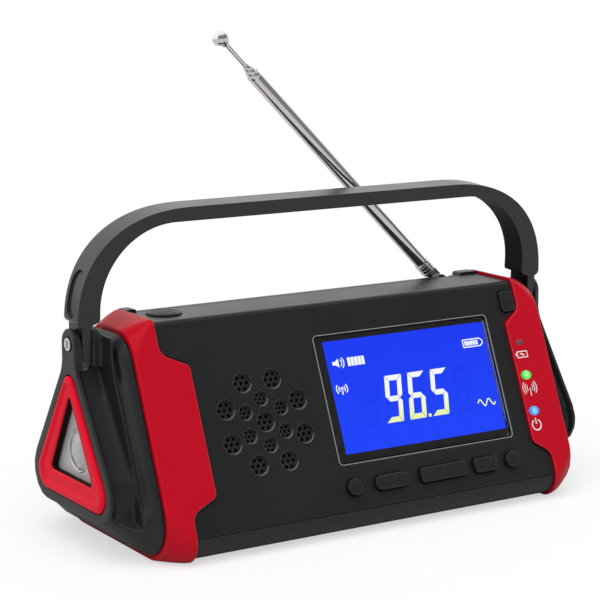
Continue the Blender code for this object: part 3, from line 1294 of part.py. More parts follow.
raise_angle = math.radians(ANTENNA_RAISE_DEG - 90)
mast = antenna_pivot @ Matrix.Rotation(raise_angle, 4, "Y")
knuckle_half = KNUCKLE_THICKNESS / 2
knuckle = plate("antenna_knuckle", [rounded([
    (-FORK_EAR_RADIUS + GAP, -FORK_EAR_RADIUS + GAP, FORK_EAR_RADIUS - 2 * GAP),
    (FORK_EAR_RADIUS - GAP, -FORK_EAR_RADIUS + GAP, FORK_EAR_RADIUS - 2 * GAP),
    (FORK_EAR_RADIUS - GAP, FERRULE_START + GAP, 0),
    (-FORK_EAR_RADIUS + GAP, FERRULE_START + GAP, 0),
])], -knuckle_half, knuckle_half, mast @ SIDE_VIEW, CHROME)
boolean(knuckle, turned("ferrule", [
    (0, FERRULE_END),
    (FERRULE_RADIUS - GAP, FERRULE_END),
    (FERRULE_RADIUS, FERRULE_END - GAP),
    (FERRULE_RADIUS, FERRULE_START + GAP),
    (FERRULE_RADIUS - GAP, FERRULE_START),
    (0, FERRULE_START),
], mast, None, cutters, SMALL_ROUND_STEPS), "UNION")
boolean(knuckle, pin_bore)

tube_low = FERRULE_END + GAP
for index in range(TUBE_COUNT):
    outer_radius = TUBE_RADIUS - index * TUBE_STEP
    bore_radius = outer_radius - TUBE_WALL
    top = TUBE_END + index * TUBE_LIP
    low = tube_low + index * GAP
    smooth(turned(f"antenna_tube_{index + 1}", [
        (bore_radius, top),
        (outer_radius - TUBE_WALL / 2, top),
        (outer_radius, top - TUBE_LIP / 2),
        (outer_radius, low),
        (bore_radius, low),
    ], mast, CHROME, parts, SMALL_ROUND_STEPS, True))
tube_top = TUBE_END + (TUBE_COUNT - 1) * TUBE_LIP
tip_low = tube_top + GAP + ROD_PULLED_OUT
tip_high = tip_low + TIP_LENGTH
rod_low = tube_low + TUBE_COUNT * GAP + ROD_PULLED_OUT
tip_dome = [(TIP_RADIUS * across, tip_high - TIP_RADIUS * drop) for across, drop in TIP_CURVE]
smooth(turned("antenna_tip", tip_dome + [
    (ROD_RADIUS * TIP_NECK_SHARE, tip_low),
    (ROD_RADIUS, tip_low),
    (ROD_RADIUS, rod_low),
    (0, rod_low),
], mast, CHROME, parts, SMALL_ROUND_STEPS))
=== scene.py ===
import json
import math

import bmesh
import bpy
from mathutils import Matrix, Vector

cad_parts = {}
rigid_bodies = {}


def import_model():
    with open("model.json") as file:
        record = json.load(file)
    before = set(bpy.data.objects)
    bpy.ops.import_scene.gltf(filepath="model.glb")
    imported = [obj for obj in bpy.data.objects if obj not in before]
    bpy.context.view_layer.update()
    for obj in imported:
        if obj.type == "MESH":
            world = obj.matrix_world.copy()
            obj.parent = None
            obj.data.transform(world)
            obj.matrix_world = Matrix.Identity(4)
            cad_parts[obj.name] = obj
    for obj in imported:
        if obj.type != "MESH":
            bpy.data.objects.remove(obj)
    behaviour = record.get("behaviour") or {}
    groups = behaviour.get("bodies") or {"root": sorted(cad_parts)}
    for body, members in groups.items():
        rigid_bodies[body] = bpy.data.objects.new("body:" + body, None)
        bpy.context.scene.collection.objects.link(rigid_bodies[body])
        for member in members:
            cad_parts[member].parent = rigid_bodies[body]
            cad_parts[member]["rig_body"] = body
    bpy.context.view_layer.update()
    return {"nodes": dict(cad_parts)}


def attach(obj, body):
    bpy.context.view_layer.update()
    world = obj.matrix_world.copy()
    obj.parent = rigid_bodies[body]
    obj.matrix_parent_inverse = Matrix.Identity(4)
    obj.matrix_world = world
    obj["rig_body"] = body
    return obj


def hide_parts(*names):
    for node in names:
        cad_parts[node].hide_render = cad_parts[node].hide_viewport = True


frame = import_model()
nodes = frame["nodes"]
scene = bpy.context.scene
mm = 0.001

radio = {"halfDepth": 43.7 * mm, "tilt": 23.0, "top": 74.8 * mm}  # the two slanted faces and the top
tilt = math.radians(radio["tilt"])
frontFrame = Matrix((
    (1, 0, 0, 0),
    (0, math.sin(tilt), -math.cos(tilt), -radio["halfDepth"]),
    (0, math.cos(tilt), math.sin(tilt), 0),
    (0, 0, 0, 1),
))  # x along the radio, y up the slope, z out of the face
rearFrame = Matrix((
    (-1, 0, 0, 0),
    (0, -math.sin(tilt), math.cos(tilt), radio["halfDepth"]),
    (0, math.cos(tilt), math.sin(tilt), 0),
    (0, 0, 0, 1),
))
# the ends and the upright middle, each with y up and z outwards
leftFrame = Matrix(((0, 0, -1, 0), (-1, 0, 0, 0), (0, 1, 0, 0), (0, 0, 0, 1)))
rightFrame = Matrix(((0, 0, 1, 0), (1, 0, 0, 0), (0, 1, 0, 0), (0, 0, 0, 1)))
uprightFrame = Matrix(((1, 0, 0, 0), (0, 0, -1, 0), (0, 1, 0, 0), (0, 0, 0, 1)))


def feed(tree, node, inputs):
    for key, value in inputs.items():
        if isinstance(value, bpy.types.NodeSocket):
            tree.links.new(value, node.inputs[key])
        else:
            node.inputs[key].default_value = value


def put(tree, kind, inputs=None, **settings):
    node = tree.nodes.new(kind)
    for key, value in settings.items():
        setattr(node, key, value)
    feed(tree, node, inputs or {})
    return node


def ramp(tree, value, span, levels=(0.0, 1.0), way="SMOOTHSTEP"):
    return put(tree, "ShaderNodeMapRange", {
        "Value": value, "From Min": span[0], "From Max": span[1], "To Min": levels[0], "To Max": levels[1],
    }, interpolation_type=way).outputs["Result"]


def blend(tree, share, first, second):  # from the first colour to the second
    return put(tree, "ShaderNodeMix", {0: share, 6: first, 7: second}, data_type="RGBA").outputs[2]


def reckon(tree, way, first, second):
    return put(tree, "ShaderNodeMath", {0: first, 1: second}, operation=way).outputs[0]


def newGroup(name, kind, inputs, outputs):
    group = bpy.data.node_groups.new(name, kind)
    for way, sockets in (("INPUT", inputs), ("OUTPUT", outputs)):
        for label, sort in sockets.items():
            group.interface.new_socket(name=label, in_out=way, socket_type="NodeSocket" + sort)
    return group, group.nodes.new("NodeGroupInput"), group.nodes.new("NodeGroupOutput")


def grey(tone):
    return tone, tone, tone


def newMaterial(name):
    made = bpy.data.materials.new(name)
    made.use_nodes = True
    return made, made.node_tree, made.node_tree.nodes["Principled BSDF"]


# camera
cameraLook = {
    "place": (-0.36238, -0.56428, 0.19622), "heading": 32.233, "dip": 10.376, "roll": -0.108,
    "lens": 117.95, "sensor": 36.0, "nearest": 0.01,
}


def makeCamera(look):
    heading = math.radians(look["heading"])
    dip = math.radians(look["dip"])
    roll = math.radians(look["roll"])
    right = Vector((math.cos(heading), -math.sin(heading), 0))
    up = Vector((math.sin(heading) * math.sin(dip), math.cos(heading) * math.sin(dip), math.cos(dip)))
    ahead = Vector((math.sin(heading) * math.cos(dip), math.cos(heading) * math.cos(dip), -math.sin(dip)))
    turnedRight = right * math.cos(roll) + up * math.sin(roll)
    turnedUp = up * math.cos(roll) - right * math.sin(roll)
    data = bpy.data.cameras.new("photoCamera")
    data.lens = look["lens"]
    data.sensor_width = look["sensor"]
    data.clip_start = look["nearest"]
    camera = bpy.data.objects.new("photoCamera", data)
    place = Matrix((turnedRight, turnedUp, -ahead)).transposed().to_4x4()
    place.translation = look["place"]
    camera.matrix_world = place
    scene.collection.objects.link(camera)
    scene.camera = camera


makeCamera(cameraLook)
print("camera set")

# studio
studioLook = {
    "fill": 0.50,  # even light from all round
    "keyStrength": 2.25,
    "keyAngle": 70.0,
    "keyTurn": (24.0, -22.0, 0.0),  # from above, a little in front and to the left
    "mirrorFront": 0.22,  # what shiny faces see in front
    "mirrorBack": 1.1,
    "mirrorTurn": (-0.45, 0.0),  # where the front tone runs into the back one
    "mirrorAbove": 1.0,
    "aboveTurn": (0.60, 0.90),
    "floorSize": 8.0,
    "floorDrop": 0.0002,
    "floorTone": 0.94,
    "floorBounce": 0.58,  # how much of its light the floor hands on to the radio
    "paperGlow": 0.6,  # share of plain white the camera sees on the floor
}


def makeStudio(look):
    scene.view_settings.view_transform = "Standard"
    world = bpy.data.worlds.new("whiteStudio")
    scene.world = world
    world.use_nodes = True
    world.cycles.sampling_method = "NONE"
    tree = world.node_tree
    path = put(tree, "ShaderNodeLightPath")
    direction = put(tree, "ShaderNodeTexCoord")
    parts = put(tree, "ShaderNodeSeparateXYZ", {0: direction.outputs["Generated"]})
    behind = ramp(tree, parts.outputs["Y"], look["mirrorTurn"], (look["mirrorFront"], look["mirrorBack"]))
    above = ramp(tree, parts.outputs["Z"], look["aboveTurn"], (0.0, look["mirrorAbove"]))
    mirrored = reckon(tree, "MAXIMUM", behind, above)
    shiny = reckon(tree, "MAXIMUM", path.outputs["Is Glossy Ray"], path.outputs["Is Transmission Ray"])
    glossy = put(tree, "ShaderNodeMix", {"Factor": shiny, 2: look["fill"], 3: mirrored})
    strength = put(tree, "ShaderNodeMix", {
        "Factor": path.outputs["Is Camera Ray"], 2: glossy.outputs[0], 3: 1.0,
    })
    feed(tree, tree.nodes["Background"], {"Color": (1, 1, 1, 1), "Strength": strength.outputs[0]})
    lamp = bpy.data.lights.new("keyLight", "SUN")
    lamp.energy = look["keyStrength"]
    lamp.angle = math.radians(look["keyAngle"])
    key = bpy.data.objects.new("keyLight", lamp)
    key.rotation_euler = [math.radians(turn) for turn in look["keyTurn"]]
    key.visible_glossy = False
    scene.collection.objects.link(key)
    bm = bmesh.new()
    bmesh.ops.create_grid(bm, x_segments=1, y_segments=1, size=look["floorSize"])
    mesh = bpy.data.meshes.new("studioFloor")
    bm.to_mesh(mesh)
    bm.free()
    paper, paperTree, shader = newMaterial("floorPaper")
    glow = put(paperTree, "ShaderNodeEmission")
    direct = put(paperTree, "ShaderNodeLightPath").outputs["Is Camera Ray"]
    share = reckon(paperTree, "MULTIPLY", direct, look["paperGlow"])
    tone = blend(paperTree, direct, (*grey(look["floorBounce"]), 1), (*grey(look["floorTone"]), 1))
    feed(paperTree, shader, {"Base Color": tone, "Roughness": 0.9, "Specular IOR Level": 0.0})
    mixed = put(paperTree, "ShaderNodeMixShader", {
        0: share, 1: shader.outputs["BSDF"], 2: glow.outputs["Emission"],
    })
    feed(paperTree, paperTree.nodes["Material Output"], {"Surface": mixed.outputs["Shader"]})
    mesh.materials.append(paper)
    floor = bpy.data.objects.new("studioFloor", mesh)
    floor.location.z = -look["floorDrop"]
    scene.collection.objects.link(floor)


makeStudio(studioLook)
print("studio lit")


# shared surface effects
def makeGrainGroup():
    group, taken, given = newGroup(
        "mouldedGrain", "ShaderNodeTree", {"Grain Scale": "Float", "Cloud Scale": "Float"},
        {"Height": "Float", "Cloud": "Float"},
    )
    place = put(group, "ShaderNodeTexCoord")
    grain = put(group, "ShaderNodeTexNoise", {
        "Vector": place.outputs["Object"], "Scale": taken.outputs["Grain Scale"], "Detail": 2.0,
    })
    cloud = put(group, "ShaderNodeTexNoise", {
        "Vector": place.outputs["Object"], "Scale": taken.outputs["Cloud Scale"], "Detail": 3.0,
    })
    feed(group, given, {"Height": grain.outputs["Fac"], "Cloud": cloud.outputs["Fac"]})
    return group


def makeEdgeGroup():
    group, taken, given = newGroup(
        "softEdge", "ShaderNodeTree", {"Radius": "Float", "Height": "Float", "Depth": "Float"},
        {"Normal": "Vector", "Edge": "Float"},
    )
    rounded = put(group, "ShaderNodeBevel", {"Radius": taken.outputs["Radius"]}, samples=6)
    surface = put(group, "ShaderNodeNewGeometry")
    facing = put(group, "ShaderNodeVectorMath", {
        0: rounded.outputs["Normal"], 1: surface.outputs["Normal"],
    }, operation="DOT_PRODUCT")
    edge = ramp(group, facing.outputs["Value"], (0.995, 0.80), way="LINEAR")  # flat face, full edge
    bump = put(group, "ShaderNodeBump", {
        "Strength": 1.0, "Distance": taken.outputs["Depth"], "Height": taken.outputs["Height"],
        "Normal": rounded.outputs["Normal"],
    })
    feed(group, given, {"Normal": bump.outputs["Normal"], "Edge": edge})
    return group


grainGroup = makeGrainGroup()
edgeGroup = makeEdgeGroup()


plainFinish = {
    "grain": 900.0, "cloud": 45.0, "edge": 0.0002, "depth": 0.00002, "wear": 0.0, "metal": 0.0,
    "specular": 0.5, "coat": 0.0,
}


def makeFinish(name, settings):
    look = {**plainFinish, "worn": settings["light"], **settings}
    made, tree, shader = newMaterial(name)
    grain = put(tree, "ShaderNodeGroup", {
        "Grain Scale": look["grain"], "Cloud Scale": look["cloud"],
    }, node_tree=grainGroup)
    edge = put(tree, "ShaderNodeGroup", {
        "Radius": look["edge"], "Height": grain.outputs["Height"], "Depth": look["depth"],
    }, node_tree=edgeGroup)
    tone = blend(tree, grain.outputs["Cloud"], (*look["dark"], 1), (*look["light"], 1))
    # rounded edges are painted lighter toward the edge tone: mostly a painted highlight along the edges,
    # partly edge wear
    wear = reckon(tree, "MULTIPLY", edge.outputs["Edge"], look["wear"])
    feed(tree, shader, {
        "Base Color": blend(tree, wear, tone, (*look["worn"], 1)),
        "Roughness": ramp(tree, grain.outputs["Cloud"], (0.3, 0.7), look["rough"], "LINEAR"),
        "Normal": edge.outputs["Normal"], "Metallic": look["metal"],
        "Specular IOR Level": look["specular"], "Coat Weight": look["coat"],
    })
    return made


def makeGlow(name, look):  # lit faces, one tone low down and another higher up
    made, tree, shader = newMaterial(name)
    place = put(tree, "ShaderNodeTexCoord")
    parts = put(tree, "ShaderNodeSeparateXYZ", {0: place.outputs["Object"]})
    climb = ramp(tree, parts.outputs["Z"], look["climb"])
    feed(tree, shader, {
        "Base Color": (0.0, 0.0, 0.0, 1), "Roughness": 0.6, "Specular IOR Level": 0.0,
        "Emission Color": blend(tree, climb, (*look["low"], 1), (*look["high"], 1)),
        "Emission Strength": 1.0,
    })
    return made


def makeClear(name, look):
    made, tree, shader = newMaterial(name)
    grain = put(tree, "ShaderNodeGroup", {"Grain Scale": 300.0, "Cloud Scale": 30.0}, node_tree=grainGroup)
    feed(tree, shader, {
        "Base Color": (*look["tone"], 1),
        "Roughness": ramp(tree, grain.outputs["Cloud"], (0.0, 1.0), look["rough"], "LINEAR"),
        "Transmission Weight": 1.0, "IOR": look["bend"],
    })
    return made


shellPlastic = makeFinish("shellPlastic", {
    "dark": (0.0105, 0.0111, 0.0115), "light": (0.0142, 0.0150, 0.0155), "rough": (0.36, 0.42),
    "grain": 2800.0, "edge": 0.0005, "wear": 0.5, "worn": grey(0.052), "specular": 0.36,
})
handlePlastic = makeFinish("handlePlastic", {
    "dark": (0.0075, 0.0090, 0.0096), "light": (0.0100, 0.0120, 0.0128), "rough": (0.27, 0.33),
    "grain": 2800.0, "edge": 0.0004, "wear": 0.4, "worn": (0.040, 0.041, 0.042), "specular": 0.60,
})
# darker, duller plastic painted where faces lie in shade: painted shade on the handle's inner side and the
# torch opening's walls
paintedShadePlastic = makeFinish("paintedShadePlastic", {
    "dark": (0.0040, 0.0041, 0.0042), "light": (0.0060, 0.0062, 0.0063), "rough": (0.60, 0.70),
    "grain": 2800.0, "edge": 0.0004, "wear": 0.2, "worn": grey(0.020), "specular": 0.12,
})
# its edges are painted light pink: a painted highlight on the rounded edges
redPlastic = makeFinish("redPlastic", {
    "dark": (0.455, 0.0016, 0.0125), "light": (0.51, 0.0024, 0.0155), "rough": (0.34, 0.42),
    "grain": 2200.0, "depth": 0.00001, "edge": 0.0005, "wear": 0.6, "worn": (0.80, 0.16, 0.19),
    "specular": 0.14,
})
# a lighter copy of the bumpers' red for the torch frame: painted light standing in for the stronger light
# from the left
frameRed = makeFinish("frameRed", {
    "dark": (0.74, 0.0022, 0.0210), "light": (0.80, 0.0030, 0.0260), "rough": (0.36, 0.44),
    "grain": 2200.0, "depth": 0.00001, "edge": 0.0005, "wear": 0.5, "worn": (0.80, 0.12, 0.15),
    "specular": 0.10,
})
buttonRubber = makeFinish("buttonRubber", {
    "dark": (0.0090, 0.0092, 0.0092), "light": (0.0120, 0.0122, 0.0122), "rough": (0.42, 0.52),
    "grain": 3200.0, "edge": 0.0009, "wear": 0.45, "worn": (0.045, 0.045, 0.044), "specular": 0.45,
})
silverTrim = makeFinish("silverTrim", {
    "dark": (0.34, 0.34, 0.33), "light": (0.44, 0.44, 0.43), "rough": (0.25, 0.35), "metal": 0.35,
    "edge": 0.0001,
})
chromePlate = makeFinish("chromePlate", {
    "dark": (0.78, 0.78, 0.79), "light": (0.84, 0.84, 0.85), "rough": (0.08, 0.13), "metal": 1.0,
    "grain": 500.0, "depth": 0.000002, "edge": 0.0001,
})
zincSteel = makeFinish("zincSteel", {
    "dark": (0.74, 0.74, 0.75), "light": grey(0.88), "rough": (0.25, 0.40), "metal": 1.0,
    "grain": 1500.0, "wear": 0.3, "worn": grey(0.8),
})
satinReflector = makeFinish("satinReflector", {
    "dark": (0.50, 0.50, 0.505), "light": (0.60, 0.60, 0.605), "rough": (0.35, 0.45), "metal": 0.15,
    "grain": 700.0, "edge": 0.0004, "wear": 0.3, "worn": grey(0.85),
})
# black ink for the display mask, also used as painted shade in the pin slots
inkAndSlotShade = makeFinish("inkAndSlotShade", {
    "dark": grey(0.009), "light": grey(0.013), "rough": (0.30, 0.40), "grain": 1500.0, "edge": 0.0001,
    "specular": 0.0,
})
# the black plastic painted far lighter for the dimple walls: painted highlight standing in for the crescent
# reflections
crescentHighlightPlastic = makeFinish("crescentHighlightPlastic", {
    "dark": grey(0.115), "light": grey(0.150), "rough": (0.28, 0.36), "grain": 2800.0, "depth": 0.00001,
    "edge": 0.0001, "coat": 0.6,
})
whiteInk = makeFinish("whiteInk", {
    "dark": (0.74, 0.72, 0.72), "light": (0.86, 0.84, 0.84), "rough": (0.45, 0.60), "grain": 2500.0,
    "edge": 0.00005,
})
solarCell = makeFinish("solarCell", {
    "dark": (0.006, 0.008, 0.030), "light": (0.012, 0.018, 0.065), "rough": (0.10, 0.18),
    "grain": 250.0, "cloud": 120.0, "coat": 0.5,
})
boardGreen = makeFinish("boardGreen", {
    "dark": (0.010, 0.10, 0.035), "light": (0.022, 0.16, 0.060), "rough": (0.35, 0.50), "grain": 800.0,
    "wear": 0.1,
})
speakerPaper = makeFinish("speakerPaper", {
    "dark": grey(0.012), "light": (0.022, 0.022, 0.021), "rough": (0.80, 0.95), "grain": 1200.0,
    "edge": 0.0003,
})
batteryFilm = makeFinish("batteryFilm", {
    "dark": (0.015, 0.13, 0.24), "light": (0.025, 0.18, 0.32), "rough": (0.25, 0.35), "grain": 400.0,
    "edge": 0.0005, "wear": 0.2,
})
gearNylon = makeFinish("gearNylon", {
    "dark": (0.70, 0.69, 0.64), "light": (0.80, 0.79, 0.74), "rough": (0.40, 0.55), "wear": 0.1,
})
pinionBrass = makeFinish("pinionBrass", {
    "dark": (0.62, 0.42, 0.14), "light": (0.78, 0.56, 0.24), "rough": (0.22, 0.35), "metal": 1.0,
    "wear": 0.2,
})
clearWindow = makeClear("clearWindow", {"tone": grey(1.0), "rough": (0.0, 0.03), "bend": 1.42})
# its rim is painted near white: a painted highlight on the lens edge
clearLens = makeFinish("clearLens", {
    "dark": (0.34, 0.34, 0.335), "light": (0.54, 0.54, 0.535), "rough": (0.10, 0.20), "grain": 300.0,
    "cloud": 160.0, "edge": 0.0004, "wear": 0.8, "worn": grey(0.80), "coat": 0.8,
})
# its edges are painted pink: a painted highlight on the window's rim
smokedLight = makeFinish("smokedLight", {
    "dark": (0.10, 0.030, 0.038), "light": (0.20, 0.070, 0.085), "rough": (0.15, 0.25), "grain": 400.0,
    "cloud": 600.0, "edge": 0.0003, "wear": 0.6, "worn": (0.45, 0.25, 0.28), "coat": 0.6,
})
lcdBlue = makeGlow("lcdBlue", {
    "low": (0.0030, 0.050, 1.0), "high": (0.0015, 0.036, 0.93), "climb": (0.028, 0.062),
})
lcdGhost = makeGlow("lcdGhost", {
    "low": (0.0026, 0.045, 0.95), "high": (0.0013, 0.032, 0.88), "climb": (0.028, 0.062),
})
lcdWhite = makeGlow("lcdWhite", {
    "low": (0.86, 0.95, 0.42), "high": (0.96, 1.0, 1.0), "climb": (0.0335, 0.0430),
})
torchDie = makeFinish("torchDie", {
    "dark": grey(0.24), "light": (0.34, 0.34, 0.335), "rough": (0.40, 0.55), "grain": 700.0,
    "cloud": 140.0, "wear": 0.3, "worn": grey(0.6),
})
print("finishes made:", len(bpy.data.materials))


# mesh helpers
def meshFrom(bm, name, place=None):
    if place is not None:
        bmesh.ops.transform(bm, matrix=place, verts=bm.verts)
    mesh = bpy.data.meshes.new(name)
    bm.to_mesh(mesh)
    bm.free()
    return mesh


def baked(draft):  # an object's mesh with its modifiers applied, and the object put away
    scene.collection.objects.link(draft)
    mesh = bpy.data.meshes.new_from_object(draft.evaluated_get(bpy.context.evaluated_depsgraph_get()))
    bpy.data.objects.remove(draft)
    return mesh


def refine(mesh, steps, group=None):
    draft = bpy.data.objects.new("draft", mesh)
    if group:
        members = draft.vertex_groups.new(name="valley")
        for index, weight in group.items():
            members.add([index], weight, "REPLACE")
    for kind, settings in steps:
        step = draft.modifiers.new(kind.lower(), kind)
        for key, value in settings.items():
            setattr(step, key, value)
    return baked(draft)


def soften(mesh, width, angle):
    return refine(mesh, (("BEVEL", {
        "width": width, "segments": 4, "limit_method": "ANGLE", "angle_limit": math.radians(angle),
    }),))


def carve(mesh, cutterMesh, way):
    cutter = bpy.data.objects.new("cutter", cutterMesh)
    scene.collection.objects.link(cutter)
    made = refine(mesh, (("BOOLEAN", {"object": cutter, "operation": way}),))
    bpy.data.objects.remove(cutter)
    return made


def cleaned(mesh):
    bm = bmesh.new()
    bm.from_mesh(mesh)
    bpy.data.meshes.remove(mesh)
    bmesh.ops.remove_doubles(bm, verts=bm.verts, dist=1e-7)
    return bm


def add(name, mesh, finishes, body):
    mesh.name = name
    mesh.materials.clear()
    for finish in finishes:
        mesh.materials.append(finish)
    made = bpy.data.objects.new(name, mesh)
    scene.collection.objects.link(made)
    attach(made, body)
    return made


def piece(name, mesh, finish, body, smoothAngle=30.0):
    mesh.shade_smooth()
    mesh.set_sharp_from_angle(angle=math.radians(smoothAngle))
    return add(name, mesh, [finish], body)


def flatMesh(name, outlines, low, high, place):  # outlines and levels in mm
    data = bpy.data.curves.new(name, "CURVE")
    data.dimensions = "2D"
    data.fill_mode = "BOTH"
    data.extrude = (high - low) / 2 * mm
    for outline in outlines:
        spline = data.splines.new("POLY")
        spline.points.add(len(outline) - 1)
        for point, (a, b) in zip(spline.points, outline):
            point.co = (a * mm, b * mm, 0, 1)
        spline.use_cyclic_u = True
    mesh = baked(bpy.data.objects.new(name, data))
    bpy.data.curves.remove(data)
    bm = cleaned(mesh)
    bmesh.ops.translate(bm, verts=bm.verts, vec=(0, 0, (low + high) / 2 * mm))
    bmesh.ops.recalc_face_normals(bm, faces=bm.faces)
    return meshFrom(bm, name, place)


def flatPiece(name, outlines, levels, place, finish, body):
    return piece(name, flatMesh(name, outlines, *levels, place), finish, body)


def moved(across, up, out=0.0):
    return Matrix.Translation((across * mm, up * mm, out * mm))


def lathe(name, profile, place, steps=48):  # profile of radius and height in mm, from the top down
    bm = bmesh.new()
    points = [bm.verts.new((radius * mm, 0, height * mm)) for radius, height in profile]
    edges = [bm.edges.new(pair) for pair in zip(points, points[1:])]
    bmesh.ops.spin(bm, geom=points + edges, cent=(0, 0, 0), axis=(0, 0, 1), angle=2 * math.pi, steps=steps)
    bmesh.ops.remove_doubles(bm, verts=bm.verts, dist=1e-6)
    bmesh.ops.recalc_face_normals(bm, faces=bm.faces)
    return meshFrom(bm, name, place)


def rounded(corners, steps=6):
    outline = []
    for index, (a, b, radius) in enumerate(corners):
        point = Vector((a, b))
        before = (Vector(corners[index - 1][:2]) - point).normalized()
        after = (Vector(corners[(index + 1) % len(corners)][:2]) - point).normalized()
        if radius <= 0:
            outline.append((a, b))
            continue
        inside = before.angle(after)
        start = point + before * (radius / math.tan(inside / 2))
        centre = point + (before + after).normalized() * (radius / math.sin(inside / 2))
        turn = math.copysign(math.pi - inside, after.x * before.y - after.y * before.x)
        spoke = start - centre
        for step in range(steps + 1):
            angle = turn * step / steps
            outline.append((
                centre.x + spoke.x * math.cos(angle) - spoke.y * math.sin(angle),
                centre.y + spoke.x * math.sin(angle) + spoke.y * math.cos(angle),
            ))
    return outline


def rectangle(left, right, low, high, radius=0.0):
    return rounded([(left, low, radius), (right, low, radius), (right, high, radius), (left, high, radius)])


def arc(centre, radius, start, end, steps=14):
    turns = [math.radians(start + (end - start) * step / steps) for step in range(steps + 1)]
    return [(centre[0] + radius * math.cos(turn), centre[1] + radius * math.sin(turn)) for turn in turns]


def stroke(points, width):  # line of even width along the points
    left, right = [], []
    for index, point in enumerate(points):
        before = Vector(points[max(index - 1, 0)])
        after = Vector(points[min(index + 1, len(points) - 1)])
        along = (after - before).normalized()
        side = Vector((-along.y, along.x)) * (width / 2)
        left.append(tuple(Vector(point) + side))
        right.append(tuple(Vector(point) - side))
    return left + right[::-1]


def ring(centre, radius, width, steps=32):
    turns = [2 * math.pi * step / steps for step in range(steps)]
    return [
        [(centre[0] + r * math.cos(t), centre[1] + r * math.sin(t)) for t in turns]
        for r in (radius + width / 2, radius - width / 2)
    ]


# shading helpers
def evenShade(mesh, smoothAngle):  # wide flat faces keep their own normal and small faces turn between them
    bm = bmesh.new()
    bm.from_mesh(mesh)
    patches, areas = {}, []
    alike = 0.99995  # cosine between faces that count as one
    for first in bm.faces:
        if first in patches:
            continue
        patches[first] = len(areas)
        area = 0.0
        waiting = [first]
        while waiting:
            face = waiting.pop()
            area += face.calc_area()
            for other in (other for edge in face.edges for other in edge.link_faces):
                if other not in patches and other.normal.dot(face.normal) > alike:
                    patches[other] = len(areas)
                    waiting.append(other)
        areas.append(area)
    limit = math.cos(math.radians(smoothAngle))
    normals = []
    for face in bm.faces:
        for loop in face.loops:
            near = {patches[face]: face.normal}
            for other in loop.vert.link_faces:
                if other.normal.dot(face.normal) > limit:
                    near.setdefault(patches[other], other.normal)
            total = Vector()
            for patch, normal in near.items():
                total += normal * areas[patch]
            normals.append(total.normalized())
    bm.free()
    mesh.shade_smooth()
    mesh.normals_split_custom_set(normals)
    return mesh


def stand(mesh, finishes, node):  # a dressed mesh in place of a solid
    words = node.split("_")
    name = words[0] + "".join(word.capitalize() for word in words[1:])
    made = add(name, mesh, finishes, nodes[node]["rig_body"])
    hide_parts(node)
    return made


# carried-over solids, with merged points and even shading
dressLook = {"bevelFrom": 50.0, "smoothTo": 32.0, "buttonEdge": 0.55 * mm}


def mergedCopy(node):
    bm = bmesh.new()
    bm.from_mesh(nodes[node].data)
    bmesh.ops.remove_doubles(bm, verts=bm.verts, dist=2e-6)
    return meshFrom(bm, node)


def dress(node, finish, edgeWidth):
    mesh = mergedCopy(node)
    if edgeWidth:
        mesh = soften(mesh, edgeWidth, dressLook["bevelFrom"])
    stand(evenShade(mesh, dressLook["smoothTo"]), [finish], node)


dressed = {
    "front_cover": shellPlastic, "rear_cover": shellPlastic, "memory_button": buttonRubber,
    "tuning_button": buttonRubber, "volume_button": buttonRubber, "band_button": buttonRubber,
    "power_button": buttonRubber, "alarm_button": buttonRubber, "torch_button": buttonRubber,
    "crank_disc": shellPlastic, "crank_knob": buttonRubber, "antenna_base": chromePlate,
    "antenna_knuckle": chromePlate, "torch_reflector": satinReflector, "solar_panel": solarCell,
    "left_cover_screw": zincSteel, "right_cover_screw": zincSteel, "usb_socket": zincSteel,
    "charge_socket": zincSteel, "display_window": clearWindow,
}
for node, finish in dressed.items():
    dress(node, finish, dressLook["buttonEdge"] if node.endswith("_button") else 0.0)
kept = {
    "display_panel": lcdBlue, "main_board": boardGreen, "port_board": boardGreen, "speaker": zincSteel,
    "speaker_cone": speakerPaper, "battery": batteryFilm, "gear_plate": zincSteel, "dynamo": zincSteel,
    "dynamo_shaft": zincSteel, "dynamo_pinion": pinionBrass, "crank_gear": gearNylon, "knob_pin": zincSteel,
    "antenna_pin": chromePlate, "left_pivot_pin": zincSteel, "right_pivot_pin": zincSteel,
    "torch_led": torchDie, "torch_lens": clearLens,
}
for node, finish in kept.items():
    nodes[node].data.materials.clear()
    nodes[node].data.materials.append(finish)
print("solids dressed:", len(dressed), "kept:", len(kept))


# moulded pieces, drawn finer than the solids they stand for
def loft(name, loops, closed=False):
    bm = bmesh.new()
    rows = [[bm.verts.new(point) for point in loop] for loop in loops]
    pairs = list(zip(rows, rows[1:]))
    if closed:
        pairs.append((rows[-1], rows[0]))
    else:
        bm.faces.new(rows[0])
        bm.faces.new(rows[-1])
    for first, second in pairs:
        for index in range(len(first)):
            after = (index + 1) % len(first)
            bm.faces.new((first[index], first[after], second[after], second[index]))
    bmesh.ops.recalc_face_normals(bm, faces=bm.faces)
    return meshFrom(bm, name)


# red bumpers
bumperLook = {
    "proud": 1.0, "inset": 1.2, "round": 0.8, "roundSteps": 5, "bottomEdge": (7.0, 12.5),
    "topEdge": (2.0, 12.0), "drop": 3.0, "under": 1.0, "tabLow": 20.9, "tabHigh": 60.9, "tabSlope": 4.2,
    "ease": 1.5, "stations": 12, "arcSteps": 14, "leastRadius": 0.3, "smooth": 28.0,
    "past": (-20.0, 100.0), "spare": (2.0, 1.0),  # heights clear of the radio, past the tab and the end
    "left": {"node": "left_bumper", "side": -1, "end": -79.6, "band": 9.006, "tab": 9.804},
    "right": {"node": "right_bumper", "side": 1, "end": 84.6, "band": 9.006, "tab": 6.802},
}


